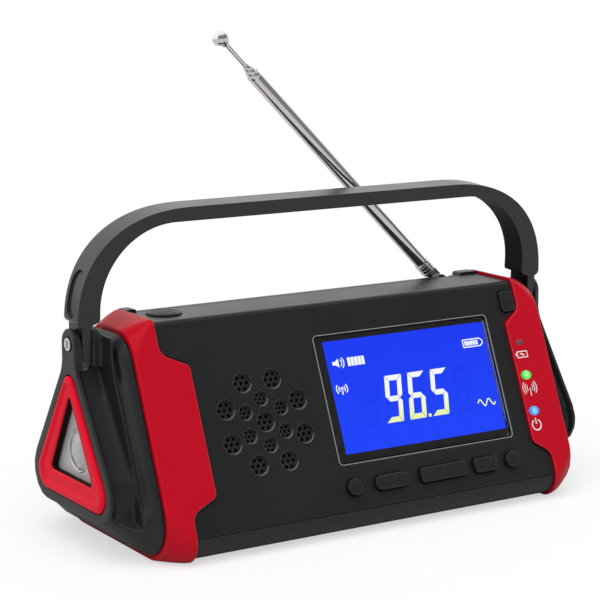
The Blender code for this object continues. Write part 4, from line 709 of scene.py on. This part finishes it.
def bodyLoop(x, offset, share, look):
    def halfDepth(height):
        return radio["halfDepth"] / mm - height * math.tan(tilt) + offset / math.cos(tilt)

    bottom = look["under"] - offset
    top = radio["top"] / mm - look["drop"] * share + offset
    lowFrom, lowTo = look["bottomEdge"]
    highFrom, highTo = look["topEdge"]
    lowRadius = lowFrom + (lowTo - lowFrom) * share + offset
    highRadius = max(highFrom + (highTo - highFrom) * share + offset, look["leastRadius"])
    outline = rounded([
        (-halfDepth(bottom), bottom, lowRadius), (halfDepth(bottom), bottom, lowRadius),
        (halfDepth(top), top, highRadius), (-halfDepth(top), top, highRadius),
    ], look["arcSteps"])
    return [(x * mm, a * mm, b * mm) for a, b in outline]


def makeBumper(place, look):
    side, end, band, tab = place["side"], place["end"], place["band"], place["tab"]
    pastTab, pastEnd = look["spare"]
    stations = [(end - side * (band + tab + pastTab), 0.0, 0.0), (end - side * band, 0.0, 0.0)]
    for step in range(1, look["stations"] + 1):
        along = step / look["stations"]
        stations.append((end - side * (band - (band - look["round"]) * along), 0.0, along ** look["ease"]))
    for step in range(1, look["roundSteps"] + 1):
        turn = math.pi / 2 * step / look["roundSteps"]
        back, cut = look["round"] * (1 - math.sin(turn)), look["round"] * (1 - math.cos(turn))
        stations.append((end - side * back, cut, 1.0))
    outside = [bodyLoop(x, look["proud"] - cut, share, look) for x, cut, share in stations]
    inside = [bodyLoop(x, -look["inset"], share, look) for x, cut, share in reversed(stations)]
    mesh = loft(place["node"], outside + inside, True)
    slope = look["tabSlope"]
    below, above = look["past"]
    profile = [
        (-pastEnd, below, 0), (band, below, 0), (band, look["tabLow"] - slope, slope),
        (band + tab, look["tabLow"], slope / 2), (band + tab, look["tabHigh"], slope / 2),
        (band, look["tabHigh"] + slope, slope), (band, above, 0), (-pastEnd, above, 0),
    ]
    outline = rounded([(end - side * across, height, radius) for across, height, radius in profile], 10)
    mesh = carve(mesh, flatMesh("reach", [outline], -100, 100, uprightFrame), "INTERSECT")
    stand(evenShade(mesh, look["smooth"]), [redPlastic], place["node"])


makeBumper(bumperLook["left"], bumperLook)
makeBumper(bumperLook["right"], bumperLook)
print("bumpers moulded")

# triangular end frames
endFrameLook = {
    "apex": 60.5, "base": 16.3, "halfWide": 29.3, "apexRadius": 3.2, "cornerRadius": 6.0, "end": 95.0,
    "steps": 12, "heart": 31.3, "lining": 0.3, "steep": 0.3, "smooth": 40.0,
    "opening": (51.8, 23.8, 15.6, 1.2),  # apex, base, half width, corner radius
    "ridge": ((0.0, -2.4), (0.0, 0.10), (0.03, 0.42), (0.08, 0.70), (0.15, 0.87), (0.23, 0.90),
              (0.31, 0.82), (0.38, 0.58), (0.43, 0.33), (0.48, 0.24)),  # share of the way in, height
    "lip": ((0.86, 0.23), (0.92, 0.16), (0.97, 0.0), (1.0, -0.25), (1.0, -2.4)),
    "plate": ((0.55, 0.23),),
}


def makeEndFrames(look):
    def triangle(apex, base, halfWide, apexRadius, cornerRadius):
        corners = [(-halfWide, base, cornerRadius), (halfWide, base, cornerRadius), (0.0, apex, apexRadius)]
        return rounded(corners, look["steps"])

    outer = triangle(look["apex"], look["base"], look["halfWide"], look["apexRadius"], look["cornerRadius"])
    inner = triangle(*look["opening"], look["opening"][3])

    def loops(side, profile):
        return [[
            (side * (look["end"] + height) * mm, (a + (c - a) * share) * mm, (b + (d - b) * share) * mm)
            for (a, b), (c, d) in zip(outer, inner)
        ] for share, height in profile]

    mesh = loft("torchFrame", loops(-1, look["ridge"] + look["lip"]), True)
    made = stand(evenShade(mesh, look["smooth"]), [frameRed, paintedShadePlastic], "torch_frame")
    for face in made.data.polygons:  # painted shade: the opening's inner walls get near-black plastic
        across, height = face.center.y, face.center.z - look["heart"] * mm
        inward = face.normal.y * across + face.normal.z * height < 0
        steep = abs(face.normal.x) < look["steep"]
        if inward and steep and -face.center.x < (look["end"] - look["lining"]) * mm:
            face.material_index = 1
    mesh = loft("portCover", loops(1, look["ridge"] + look["plate"]))
    stand(evenShade(mesh, look["smooth"]), [frameRed], "port_cover")


makeEndFrames(endFrameLook)
print("end frames moulded")

# carrying handle
handleLook = {
    "pivot": 68.3, "lean": 4.0, "wide": 10.2, "rise": 43.0, "bar": 4.7, "legOuter": 94.0, "leg": 8.0,
    "foot": 6.9, "archStart": 52.0, "archLow": 6.0, "bulge": 2.35, "innerRadius": 27.0, "tongueOuter": 92.2,
    "tongue": 3.0, "tongueFoot": -5.1, "edge": 1.0, "bore": 2.5,
    "straight": 2.5, "shoulder": 0.4, "heel": 0.8,  # arch's end over the foot, tongue's start, inner edge
    "footRadius": 2.0, "neckRadius": 0.3, "tongueRadius": 0.8, "insideRadius": 1.2,
    "bevelFrom": 60.0, "smooth": 30.0,
    "dull": (0.35, 0.3),  # which inner faces get painted shade: how far one turns across at least, and to the front at most
    "recess": (8.4, 24.2, 3.4, 0.7),  # low, high, half width, depth
}


def archCurve(look, inset, steps=40):  # outer edge of the right half, from the crown to the leg
    reach = look["legOuter"] - look["archStart"] - inset
    height = look["rise"] - look["archLow"] - inset
    curve = []
    for step in range(steps + 1):
        turn = math.pi / 2 * (1 - step / steps)
        curve.append((look["archStart"] + reach * math.cos(turn) ** (2 / look["bulge"]),
                      look["archLow"] + height * math.sin(turn) ** (2 / look["bulge"])))
    return curve


def makeHandle(look):
    legInner = look["legOuter"] - look["leg"]
    barLow = look["rise"] - look["bar"]
    foot = look["foot"]
    tongueInner = look["tongueOuter"] - look["tongue"]
    outer = [point for point in archCurve(look, 0.0) if point[1] > foot + look["straight"]]
    neck, soft = foot - look["shoulder"], look["tongueRadius"]
    half = outer + rounded([
        (*outer[-1], 0), (look["legOuter"], foot, look["footRadius"]),
        (look["tongueOuter"], neck, look["neckRadius"]), (look["tongueOuter"], look["tongueFoot"], soft),
        (tongueInner, look["tongueFoot"], soft), (tongueInner, neck, look["neckRadius"]),
        (legInner, foot + look["heel"], look["insideRadius"]),
        (legInner, barLow, look["innerRadius"]), (0.0, barLow, 0),
    ], 24)[1:-1]
    outline = half + [(-a, b) for a, b in reversed(half)]
    mesh = flatMesh("handle", [outline], -look["wide"] / 2, look["wide"] / 2, uprightFrame)
    mesh = soften(mesh, look["edge"] * mm, look["bevelFrom"])
    low, high, halfWide, depth = look["recess"]
    floor = archCurve(look, depth)
    floor = floor + [(floor[-1][0], -30.0)]
    inside = floor + [(-a, b) for a, b in reversed(floor)]
    around = rectangle(-120, 120, -60, 120)  # clear of the handle on every side
    beyond = flatMesh("beyond", [around, inside], -20, 20, uprightFrame)
    slot = rectangle(-halfWide, halfWide, low, high, halfWide - 0.05)
    oval = flatMesh("oval", [slot], -200, 200, rightFrame)
    mesh = carve(mesh, carve(beyond, oval, "INTERSECT"), "DIFFERENCE")
    bore = flatMesh("bore", ring((0, 0), look["bore"], 0.0)[:1], -200, 200, rightFrame)
    mesh = carve(mesh, bore, "DIFFERENCE")
    lean = Matrix.Rotation(math.radians(look["lean"]), 4, "X")
    mesh.transform(moved(0, 0, look["pivot"]) @ lean)
    made = stand(evenShade(mesh, look["smooth"]), [handlePlastic, paintedShadePlastic], "handle")
    for face in made.data.polygons:  # painted shade: the inner side of the arch gets a darker, duller plastic
        across, along = abs(face.normal.x), abs(face.normal.y)
        if face.normal.x * face.center.x < 0 and across > look["dull"][0] and along < look["dull"][1]:
            face.material_index = 1


makeHandle(handleLook)
print("handle moulded")

# end caps with soft moulded edges
capLook = {
    "voxel": 0.45, "passes": 12, "valleyPasses": 140, "share": 0.30, "fade": 1.6, "far": 93.0, "low": 15.0,
    "near": {"left_end_cap": 81.4, "right_end_cap": 86.0}, "aside": (7.0, 13.0), "post": 56.0,
    "clear": 1.0,
}


def makeCap(node, look):
    mesh = refine(mergedCopy(node), (
        ("REMESH", {"mode": "VOXEL", "voxel_size": look["voxel"] * mm}),
        ("SMOOTH", {"factor": 0.5, "iterations": look["passes"]}),
    ))
    valley = {}
    slope = endFrameLook["halfWide"] / (endFrameLook["apex"] - endFrameLook["base"])
    for vertex in mesh.vertices:  # the hollow beside the frame runs smoothly into the bevel
        x, y, z = (abs(part) / mm for part in vertex.co)
        aside = look["aside"][1 if z > look["post"] else 0]
        beside = max((endFrameLook["apex"] - z) * slope - look["clear"], aside)
        depth = min(x - look["near"][node], look["far"] - x, y - beside, z - look["low"]) / look["fade"]
        if depth > 0:
            valley[vertex.index] = min(depth, 1.0)
    mesh = refine(mesh, (
        ("SMOOTH", {"factor": 0.5, "iterations": look["valleyPasses"], "vertex_group": "valley"}),
        ("DECIMATE", {"ratio": look["share"]}),
    ), valley)
    mesh.shade_smooth()
    print(node, "faces:", len(mesh.polygons))
    stand(mesh, [shellPlastic], node)


makeCap("left_end_cap", capLook)
makeCap("right_end_cap", capLook)
print("end caps moulded")


# repeated bars and rings, made with geometry nodes
def laidOut(group, taken, given, points, instance):  # a copy at each point, made real and painted
    row = put(group, "GeometryNodeInstanceOnPoints", {"Points": points, "Instance": instance})
    solid = put(group, "GeometryNodeRealizeInstances", {"Geometry": row.outputs["Instances"]})
    painted = put(group, "GeometryNodeSetMaterial", {
        "Geometry": solid.outputs["Geometry"], "Material": taken.outputs["Material"],
    })
    feed(group, given, {"Geometry": painted.outputs["Geometry"]})
    return group


def swept(group, radius, profile):  # the profile taken round a circle
    loop = put(group, "GeometryNodeCurvePrimitiveCircle", {"Resolution": 40, "Radius": radius})
    return put(group, "GeometryNodeCurveToMesh", {
        "Curve": loop.outputs["Curve"], "Profile Curve": profile,
    }).outputs["Mesh"]


def makeBarRow():
    group, taken, given = newGroup("barRow", "GeometryNodeTree", {
        "Count": "Int", "Step": "Vector", "Size": "Vector", "Material": "Material",
    }, {"Geometry": "Geometry"})
    line = put(group, "GeometryNodeMeshLine", {
        "Count": taken.outputs["Count"], "Offset": taken.outputs["Step"],
    })
    bar = put(group, "GeometryNodeMeshCube", {"Size": taken.outputs["Size"]})
    return laidOut(group, taken, given, line.outputs["Mesh"], bar.outputs["Mesh"])


def makeRingStack():
    group, taken, given = newGroup("ringStack", "GeometryNodeTree", {
        "Count": "Int", "Pitch": "Float", "Ring Radius": "Float", "Wire Radius": "Float",
        "Material": "Material",
    }, {"Geometry": "Geometry"})
    step = put(group, "ShaderNodeCombineXYZ", {"Z": taken.outputs["Pitch"]})
    line = put(group, "GeometryNodeMeshLine", {
        "Count": taken.outputs["Count"], "Offset": step.outputs[0],
    })
    wire = put(group, "GeometryNodeCurvePrimitiveCircle", {
        "Resolution": 10, "Radius": taken.outputs["Wire Radius"],
    })
    tube = swept(group, taken.outputs["Ring Radius"], wire.outputs["Curve"])
    return laidOut(group, taken, given, line.outputs["Mesh"], tube)


barRow = makeBarRow()
ringStack = makeRingStack()


def grow(name, tree, values, place, finish, body):
    draft = bpy.data.objects.new(name + "Draft", bpy.data.meshes.new(name + "Draft"))
    maker = draft.modifiers.new("maker", "NODES")
    maker.node_group = tree
    for socket in tree.interface.items_tree:
        if socket.item_type == "SOCKET" and socket.in_out == "INPUT":
            maker[socket.identifier] = finish if socket.name == "Material" else values[socket.name]
    bm = cleaned(baked(draft))
    bmesh.ops.recalc_face_normals(bm, faces=bm.faces)
    return piece(name, meshFrom(bm, name, place), finish, body)


def layBars(name, row, place, finish):
    values = {
        "Count": row["count"], "Step": tuple(part * mm for part in (*row["step"], 0.0)),
        "Size": tuple(part * mm for part in row["size"]),
    }
    grow(name, barRow, values, place, finish, "chassis")


# signs that more than one place carries
def hornSign(left, neck, right, middle, small, large):
    return [(left, middle - small), (neck, middle - small), (right, middle - large),
            (right, middle + large), (neck, middle + small), (left, middle + small)]


def beamArcs(centre, reaches, spread, width):
    arcs = []
    for reach in reaches:
        for side in (0, 180):
            arcs.append(stroke(arc(centre, reach, side - spread, side + spread), width))
    return arcs


def powerSign(centre, radius, opening, top, width, steps):
    a, b = centre
    bow = arc(centre, radius, 90 + opening, 450 - opening, steps)
    return [stroke(bow, width), stroke([(a, b + 0.3), (a, b + top)], width)]


# display
displayLook = {
    "number": "96.5", "digitLeft": 10.2, "digitLow": 37.0, "digitWide": 7.0, "digitTall": 16.3,
    "digitPitch": 9.65, "bar": 1.85, "lean": 10.0, "gap": 0.12,
    "dot": (0.95, 1.1),  # way after the digit, size
    # levels
    "sheet": (-1.79, -1.74), "marks": (-1.74, -1.70), "ghosts": (-1.74, -1.72), "mask": (-1.70, -1.58),
    "trimLevel": (-0.25, 0.15),
    # left, right, low and high
    "blue": (-8.8, 59.0, 28.7, 67.7), "window": (-11.6, 60.4, 26.0, 69.7),
    "trim": (-12.2, 61.2, 25.4, 70.3), "trimCorner": (1.6, 1.3), "maskCorner": (0.8, 0.3), "line": 0.27,
    "margin": 0.4, "shift": (0.8, 0.25),  # the blue sheet's reach under the mask, the display's move
    "sound": (-4.2, 59.9), "beam": (-4.8, 51.0),
    "wave": (49.6, 39.0, 1.15, 1.9),  # place, height, half length
    "volumeBars": {"place": (0.3, 59.9), "count": 5, "step": (1.42, 0.0), "size": (1.2, 3.0, 0.04)},
    "batteryBars": {"place": (50.1, 60.65), "count": 5, "step": (1.2, 0.0), "size": (1.0, 1.6, 0.04)},
}
digitBars = {"5": "afgcd", "6": "afgecd", "9": "abcdfg"}  # bars lit in each figure


def digitShapes(look, letters, left):
    wide, tall, thick, gap = look["digitWide"], look["digitTall"], look["bar"], look["gap"]
    half, slab = tall / 2, thick / 2
    inner, far = thick + gap, wide - thick - gap
    over, under = half + slab + gap, half - slab - gap
    shapes = {
        "a": [(gap, tall), (wide - gap, tall), (far, tall - thick), (inner, tall - thick)],
        "d": [(gap, 0), (inner, thick), (far, thick), (wide - gap, 0)],
        "g": [(slab + gap, half), (inner, half + slab), (far, half + slab), (wide - slab - gap, half),
              (far, half - slab), (inner, half - slab)],
        "f": [(0, tall - gap), (thick, tall - inner), (thick, over), (slab, half + gap), (0, over)],
        "e": [(0, gap), (0, under), (slab, half - gap), (thick, under), (thick, inner)],
    }
    shapes["b"] = [(wide - a, b) for a, b in (shapes["f"][0], *shapes["f"][:0:-1])]
    shapes["c"] = [(wide - a, b) for a, b in (shapes["e"][0], *shapes["e"][:0:-1])]
    slope = math.tan(math.radians(look["lean"]))
    return [[(left + a + b * slope, look["digitLow"] + b) for a, b in shapes[letter]] for letter in letters]


def makeDisplay(look):
    left, right, low, high = look["trim"]
    line = look["line"]
    outer, inner = look["trimCorner"]
    trim = [
        rectangle(left, right, low, high, outer),
        rectangle(left + line, right - line, low + line, high - line, inner),
    ]
    made = flatPiece("displayFrame", trim, look["trimLevel"], frontFrame, silverTrim, "chassis")
    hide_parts("display_frame")
    across, up = look["shift"]
    face = frontFrame @ moved(across, up)

    def layer(name, outlines, levels, finish):
        flatPiece(name, outlines, levels, face, finish, "chassis")

    left, right, low, high = look["blue"]
    rim = look["margin"]
    sheet = rectangle(left - rim, right + rim, low - rim, high + rim)
    layer("displaySheet", [sheet], look["sheet"], lcdBlue)
    outer, inner = look["maskCorner"]
    opening = rectangle(left + across, right + across, low + up, high + up, inner)
    mask = [rectangle(*look["window"], outer), opening]
    flatPiece("displayMask", mask, look["mask"], frontFrame, inkAndSlotShade, "chassis")
    lit, ghost = [], []
    place = look["digitLeft"]
    for mark in look["number"]:
        if mark == ".":
            after, size = look["dot"]
            dot = place - look["digitPitch"] + look["digitWide"] + after
            lit.append(rectangle(dot, dot + size, look["digitLow"], look["digitLow"] + size))
            continue
        lit += digitShapes(look, digitBars[mark], place)
        ghost += digitShapes(look, [bar for bar in "abcdefg" if bar not in digitBars[mark]], place)
        place += look["digitPitch"]
    for spare in (place, look["digitLeft"] - look["digitPitch"]):
        ghost += digitShapes(look, "abcdefg", spare)
    # sound sign, beam sign, wave and battery
    a, b = look["sound"]
    lit.append(hornSign(a - 2.2, a - 1.1, a + 0.3, b, 0.6, 1.6))
    lit += [stroke(arc((a, b), reach, -48, 48), 0.38) for reach in (1.5, 2.4)]
    a, b = look["beam"]
    lit += [stroke([(a, b - 2.1), (a, b + 0.2)], 0.45), ring((a, b), 0.32, 0.64)[0]]
    lit += beamArcs((a, b), (1.25, 2.2), 42, 0.4)
    a, b, tall, half = look["wave"]
    steps = [step * 0.25 for step in range(31)]
    lit.append(stroke([(a + step, b + tall * math.sin(step * math.pi / half)) for step in steps], 0.5))
    cell = rounded([
        (48.7, 59.1, 0.5), (56.4, 59.1, 0.6), (57.6, 60.1, 0.2), (57.6, 61.2, 0.2), (56.4, 62.2, 0.6),
        (48.7, 62.2, 0.5),
    ], 3)
    hollow = rounded([
        (49.1, 59.5, 0.3), (56.2, 59.5, 0.4), (57.2, 60.3, 0.15), (57.2, 61.0, 0.15), (56.2, 61.8, 0.4),
        (49.1, 61.8, 0.3),
    ], 3)
    layer("displayMarks", lit + [cell, hollow], look["marks"], lcdWhite)
    layer("displayGhosts", ghost, look["ghosts"], lcdGhost)
    level = sum(look["marks"]) / 2
    for name in ("volumeBars", "batteryBars"):
        start = face @ moved(*look[name]["place"], level)
        layBars(name, look[name], start, lcdWhite)


makeDisplay(displayLook)
print("display drawn")

# printed marks on the right bumper
bumperPrint = {
    "level": 1.0, "ink": 0.04, "sink": 0.02, "line": 0.35, "battery": (70.3, 75.1, 52.7, 55.2),
    "beam": (72.6, 41.0), "power": (71.8, 28.2),
}


def makeBumperPrint(look):
    left, right, low, high = look["battery"]
    line = look["line"]
    marks = [
        rectangle(left, right, low, high, 0.25),
        rectangle(left + line, right - line, low + line, high - line, 0.1),
        [(left - 0.55, 53.6), (left, 53.6), (left, 54.5), (left - 0.55, 54.5)],
        [(71.3, 54.1), (72.8, 54.6), (72.6, 54.05), (74.1, 53.8), (72.5, 53.3), (72.7, 53.85)],
    ]
    a, b = look["beam"]
    marks.append(stroke([(a, b - 2.3), (a, b + 0.6)], 0.36))
    marks += beamArcs((a, b + 0.7), (1.25, 2.15, 3.05), 46, 0.30)
    marks += powerSign(look["power"], 1.9, 30, 2.5, 0.46, 30)
    levels = (look["level"] - look["sink"], look["level"] + look["ink"])
    flatPiece("bumperPrint", marks, levels, frontFrame, whiteInk, "chassis")


makeBumperPrint(bumperPrint)

# indicator windows
lightLook = {
    "charge": {"node": "charge_light", "place": (72.7, 58.4, 0.9), "size": (1.75, 1.05, 0.3)},
    "signal": {"node": "signal_light", "place": (72.3, 46.4, 0.85), "size": (2.45, 1.75, 0.55),
               "core": (0.45, 1.0, 0.42), "rim": (0.01, 0.42, 0.02)},
    "power": {"node": "power_light", "place": (72.1, 33.3, 0.85), "size": (2.45, 1.75, 0.55),
              "core": (0.30, 0.66, 1.0), "rim": (0.02, 0.14, 0.55)},
    "fade": (0.3, 2.1),  # how far from its middle a window goes from core to rim
}


def makeWindowGlow(name, look, fade):
    made, tree, shader = newMaterial(name)
    centre = frontFrame @ Vector([part * mm for part in look["place"]])
    place = put(tree, "ShaderNodeTexCoord")
    away = put(tree, "ShaderNodeVectorMath", {
        0: place.outputs["Object"], 1: tuple(centre),
    }, operation="DISTANCE")
    run = ramp(tree, away.outputs["Value"], [part * mm for part in fade])
    feed(tree, shader, {
        "Base Color": (*[0.5 * part for part in look["rim"]], 1), "Roughness": 0.25,
        "Emission Color": blend(tree, run, (*look["core"], 1), (*look["rim"], 1)),
        "Emission Strength": 1.0,
    })
    return made


def makeWindow(name, look, fade):
    finish = makeWindowGlow(name + "Glow", look, fade) if "core" in look else smokedLight
    bm = bmesh.new()
    bmesh.ops.create_uvsphere(bm, u_segments=32, v_segments=16, radius=1.0)
    stretch = Matrix.Diagonal([*[part * mm for part in look["size"]], 1])
    mesh = meshFrom(bm, name + "Window", frontFrame @ moved(*look["place"]) @ stretch)
    made = piece(name + "Window", mesh, finish, "chassis", 60.0)
    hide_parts(look["node"])


for light in ("charge", "signal", "power"):
    makeWindow(light, lightLook[light], lightLook["fade"])
print("indicators lit")

# raised marks on the buttons
markLook = {
    "raise": 0.10, "sink": 0.03, "front": 1.8, "alarm": 1.0, "torch": 0.8, "row": 17.6,
    "arrows": ((2.1, -1), (3.7, -1), (9.3, 1), (10.9, 1)),  # place along the button, way it points
}


def makeButtonMarks(look):
    row = look["row"]
    arrows = []
    for start, way in look["arrows"]:
        back = start - way * 0.5
        arrows.append([(back, row - 1.0), (start + way * 0.7, row), (back, row + 1.0)])
    plus = [
        stroke([(32.4, row), (34.6, row)], 0.5), stroke([(33.5, row - 1.1), (33.5, row - 0.25)], 0.5),
        stroke([(33.5, row + 0.25), (33.5, row + 1.1)], 0.5),
    ]
    minus = [stroke([(21.6, row), (23.8, row)], 0.5)]
    horn = [hornSign(26.2, 27.1, 28.3, row, 0.6, 1.3), stroke(arc((28.0, row), 1.4, -42, 42), 0.36)]
    steps = [
        rectangle(43.6, 44.8, row - 1.0, row + 0.2), rectangle(45.3, 46.5, row - 1.0, row + 0.7),
        rectangle(47.0, 48.2, row - 1.0, row + 1.2),
    ]
    sign = [
        rounded([(70.0, 72.3, 0.3), (73.2, 72.3, 0.3), (71.6, 75.3, 0.3)], 3),
        rounded([(70.6, 72.7, 0.2), (72.6, 72.7, 0.2), (71.6, 74.6, 0.2)], 3),
    ]
    lampSign = ring((-60.0, -0.4), 3.9, 0.5, 48) + [[
        (-62.2, -1.2), (-60.4, -1.2), (-59.2, -2.0), (-58.2, -2.0),
        (-58.2, 1.2), (-59.2, 1.2), (-60.4, 0.4), (-62.2, 0.4),
    ]]
    eye = ring((-8.7, row), 1.25, 0.4) + [ring((-8.7, row), 0.22, 0.44)[0]]
    power = powerSign((57.6, row - 0.1), 1.3, 35, 1.8, 0.42, 24)
    front, top = look["front"], radio["top"] / mm + look["torch"]
    marks = (
        ("memoryMark", "memory_button", eye, front, frontFrame),
        ("tuningMark", "tuning_button", arrows, front, frontFrame),
        ("volumeMark", "volume_button", plus + horn + minus, front, frontFrame),
        ("bandMark", "band_button", steps, front, frontFrame),
        ("powerMark", "power_button", power, front, frontFrame),
        ("alarmMark", "alarm_button", sign, look["alarm"], frontFrame),
        ("torchButtonMark", "torch_button", lampSign, top, Matrix()),
    )
    for name, body, outlines, level, place in marks:
        levels = (level - look["sink"], level + look["raise"])
        flatPiece(name, outlines, levels, place, buttonRubber, body)


makeButtonMarks(markLook)
print("buttons marked")

# antenna, turned smooth
mastLook = {
    "pivot": (61.3, 13.0, 72.8), "raise": 45.0, "tubeLow": 10.8, "tubeEnd": 111.3, "lip": 1.8,
    "radius": 2.5, "step": 0.55, "wall": 0.4, "rod": 0.85, "pulled": 10.4, "tip": 3.0, "tipLong": 5.8,
    "gap": 0.3, "neck": (1.8, 1.6, 0.5),  # shares of the rod's radius under the tip, height
    "mouth": ((0.22, 0.0), (0.06, 0.25), (0.0, 0.8), (0.0, 1.4), (0.05, 1.5), (0.05, 1.65),
              (0.0, 1.75)),  # way in from the tube's side, depth below its top
    "ferrule": (6.4, 3, 1.5, 2.86, 0.16),  # first ring's height, count, pitch, ring and wire radius
    "ball": ((0.30, 0.14), (0.56, 0.50), (0.77, 1.05), (0.91, 1.75), (0.98, 2.5), (0.97, 3.1),
             (0.86, 3.7), (0.68, 4.4)),  # share of the tip's radius, depth below its top
}


def makeMast(look):
    place = moved(*look["pivot"]) @ Matrix.Rotation(math.radians(look["raise"] - 90), 4, "Y")

    def turned(name, profile, body, node):
        made = piece(name, lathe(name, profile, place), chromePlate, body, 40.0)
        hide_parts(node)

    bodies = ("antenna_mast", "antenna_second_section", "antenna_third_section")
    for index, body in enumerate(bodies):
        outer = look["radius"] - index * look["step"]
        inner = outer - look["wall"]
        top = look["tubeEnd"] + index * look["lip"]
        low = look["tubeLow"] + index * look["gap"]
        mouth = [(outer - cut, top - depth) for cut, depth in look["mouth"]]
        profile = [(inner, top), *mouth, (outer, low), (inner, low), (inner, top)]
        turned(f"antennaTube{index + 1}", profile, body, f"antenna_tube_{index + 1}")
    tubeTop = look["tubeEnd"] + 2 * look["lip"]
    tipLow = tubeTop + look["gap"] + look["pulled"]
    tipHigh = tipLow + look["tipLong"]
    rodLow = look["tubeLow"] + 3 * look["gap"] + look["pulled"]
    rod = look["rod"]
    wide, narrow, high = look["neck"]
    ball = [(look["tip"] * share, tipHigh - depth) for share, depth in look["ball"]]
    neck = [(rod * wide, tipLow + high), (rod * narrow, tipLow), (rod, tipLow), (rod, rodLow), (0, rodLow)]
    turned("antennaTip", [(0, tipHigh), *ball, *neck], "antenna_end_section", "antenna_tip")
    height, count, pitch, radius, wire = look["ferrule"]
    rings = {"Count": count, "Pitch": pitch * mm, "Ring Radius": radius * mm, "Wire Radius": wire * mm}
    start = place @ moved(0, 0, height)
    grow("antennaFerruleRings", ringStack, rings, start, chromePlate, "antenna_mast")


makeMast(mastLook)
print("antenna turned")

# sloping walls in the grille's dimples, in a much lighter plastic that paints the crescent highlights on
# them
grilleLook = {
    "centre": (-36.594, 43.9),
    # ring radius, count, one in the middle or none, dimple radius
    "grilleBowls": (15.0, 8, 1, 3.5), "grilleCups": (7.9, 6, 0, 2.7),
    "wall": 0.46, "deep": 0.60, "skin": 0.1, "shift": (0.0, 0.44), "proud": 0.03, "lap": 0.12,
}


def makeBowls():
    group, taken, given = newGroup("dimpleBowls", "GeometryNodeTree", {
        "Ring Radius": "Float", "Count": "Int", "Middle": "Int", "Dimple Radius": "Float",
        "Upper Edge": "Vector", "Lower Edge": "Vector", "Foot": "Vector", "Heel": "Vector",
        "Shift": "Vector", "Material": "Material",
    }, {"Geometry": "Geometry"})
    spots = put(group, "GeometryNodeMeshCircle", {
        "Vertices": taken.outputs["Count"], "Radius": taken.outputs["Ring Radius"],
    })
    middle = put(group, "GeometryNodePoints", {"Count": taken.outputs["Middle"]})
    places = put(group, "GeometryNodeJoinGeometry")
    group.links.new(spots.outputs["Mesh"], places.inputs[0])
    group.links.new(middle.outputs[0], places.inputs[0])
    section = put(group, "GeometryNodeCurvePrimitiveQuadrilateral", {
        "Point 1": taken.outputs["Upper Edge"], "Point 2": taken.outputs["Lower Edge"],
        "Point 3": taken.outputs["Foot"], "Point 4": taken.outputs["Heel"],
    }, mode="POINTS")
    wall = swept(group, taken.outputs["Dimple Radius"], section.outputs["Curve"])
    where = put(group, "GeometryNodeInputPosition")
    level = put(group, "ShaderNodeSeparateXYZ", {0: where.outputs[0]})
    sunk = put(group, "FunctionNodeCompare", {0: level.outputs["Z"], 1: -0.0001}, operation="LESS_THAN")
    slanted = put(group, "GeometryNodeSetPosition", {
        "Geometry": wall, "Selection": sunk.outputs[0], "Offset": taken.outputs["Shift"],
    })
    return laidOut(group, taken, given, places.outputs["Geometry"], slanted.outputs["Geometry"])


def makeGrille(look):
    bowls = makeBowls()
    wall, deep, lap = look["wall"] * mm, look["deep"] * mm, look["lap"] * mm
    foot = deep + look["skin"] * mm
    for name in ("grilleBowls", "grilleCups"):
        reach, count, middle, radius = look[name]
        turn = Matrix.Rotation(math.pi / count, 4, "Z")
        values = {
            "Ring Radius": reach * mm, "Count": count, "Middle": middle, "Dimple Radius": radius * mm,
            "Upper Edge": (-lap, -look["proud"] * mm, 0), "Lower Edge": (wall, deep, 0),
            "Foot": (wall, foot, 0), "Heel": (-lap, foot, 0),
            "Shift": tuple(turn.inverted() @ Vector((*look["shift"], 0)) * mm),
        }
        place = frontFrame @ moved(*look["centre"]) @ turn
        grow(name, bowls, values, place, crescentHighlightPlastic, "chassis")


makeGrille(grilleLook)
print("grille bowls laid")

# metal ring standing in for the bright highlight round the torch lens, and flat black bars painting the
# shade in the slots of the pivot pins
endLook = {
    "lens": (32.5, 6.9, 0.28, 91.9),  # height, radius, wire, reach
    "pin": (68.3, 95.3), "slot": (2.6, 0.6),  # height and reach, length and width
    "slotLevel": (-0.05, 0.02),
}


def makeEndDetails(look):
    height, radius, wire, reach = look["lens"]
    values = {"Count": 1, "Pitch": 0.0, "Ring Radius": radius * mm, "Wire Radius": wire * mm}
    face = moved(-reach, 0, height) @ Matrix.Rotation(math.radians(90), 4, "Y")
    grow("torchLensRing", ringStack, values, face, zincSteel, "chassis")
    long, wide = look["slot"]
    height, reach = look["pin"]
    bar = rectangle(-wide / 2, wide / 2, height - long / 2, height + long / 2, wide / 2 - 0.01)
    # the slots are flat black bars on the pin faces: painted shade
    for name, side in (("leftPinSlotShade", leftFrame), ("rightPinSlotShade", rightFrame)):
        levels = [reach + level for level in look["slotLevel"]]
        flatPiece(name, [bar], levels, side, inkAndSlotShade, "chassis")


makeEndDetails(endLook)
print("end details made")

# solar panel lines
solarLook = {
    "middle": (21.5, 41.5), "level": -0.29,
    "solarFingers": {"count": 34, "step": (0.0, 1.5), "size": (68.0, 0.10, 0.03)},
    "solarBuses": {"count": 5, "step": (14.0, 0.0), "size": (0.9, 50.0, 0.04)},
}


def makeSolarLines(look):
    for name in ("solarFingers", "solarBuses"):
        row = look[name]
        half = (row["count"] - 1) / 2
        a, b = (middle - half * step for middle, step in zip(look["middle"], row["step"]))
        layBars(name, row, rearFrame @ moved(a, b, look["level"]), silverTrim)


makeSolarLines(solarLook)
print("solar lines laid")
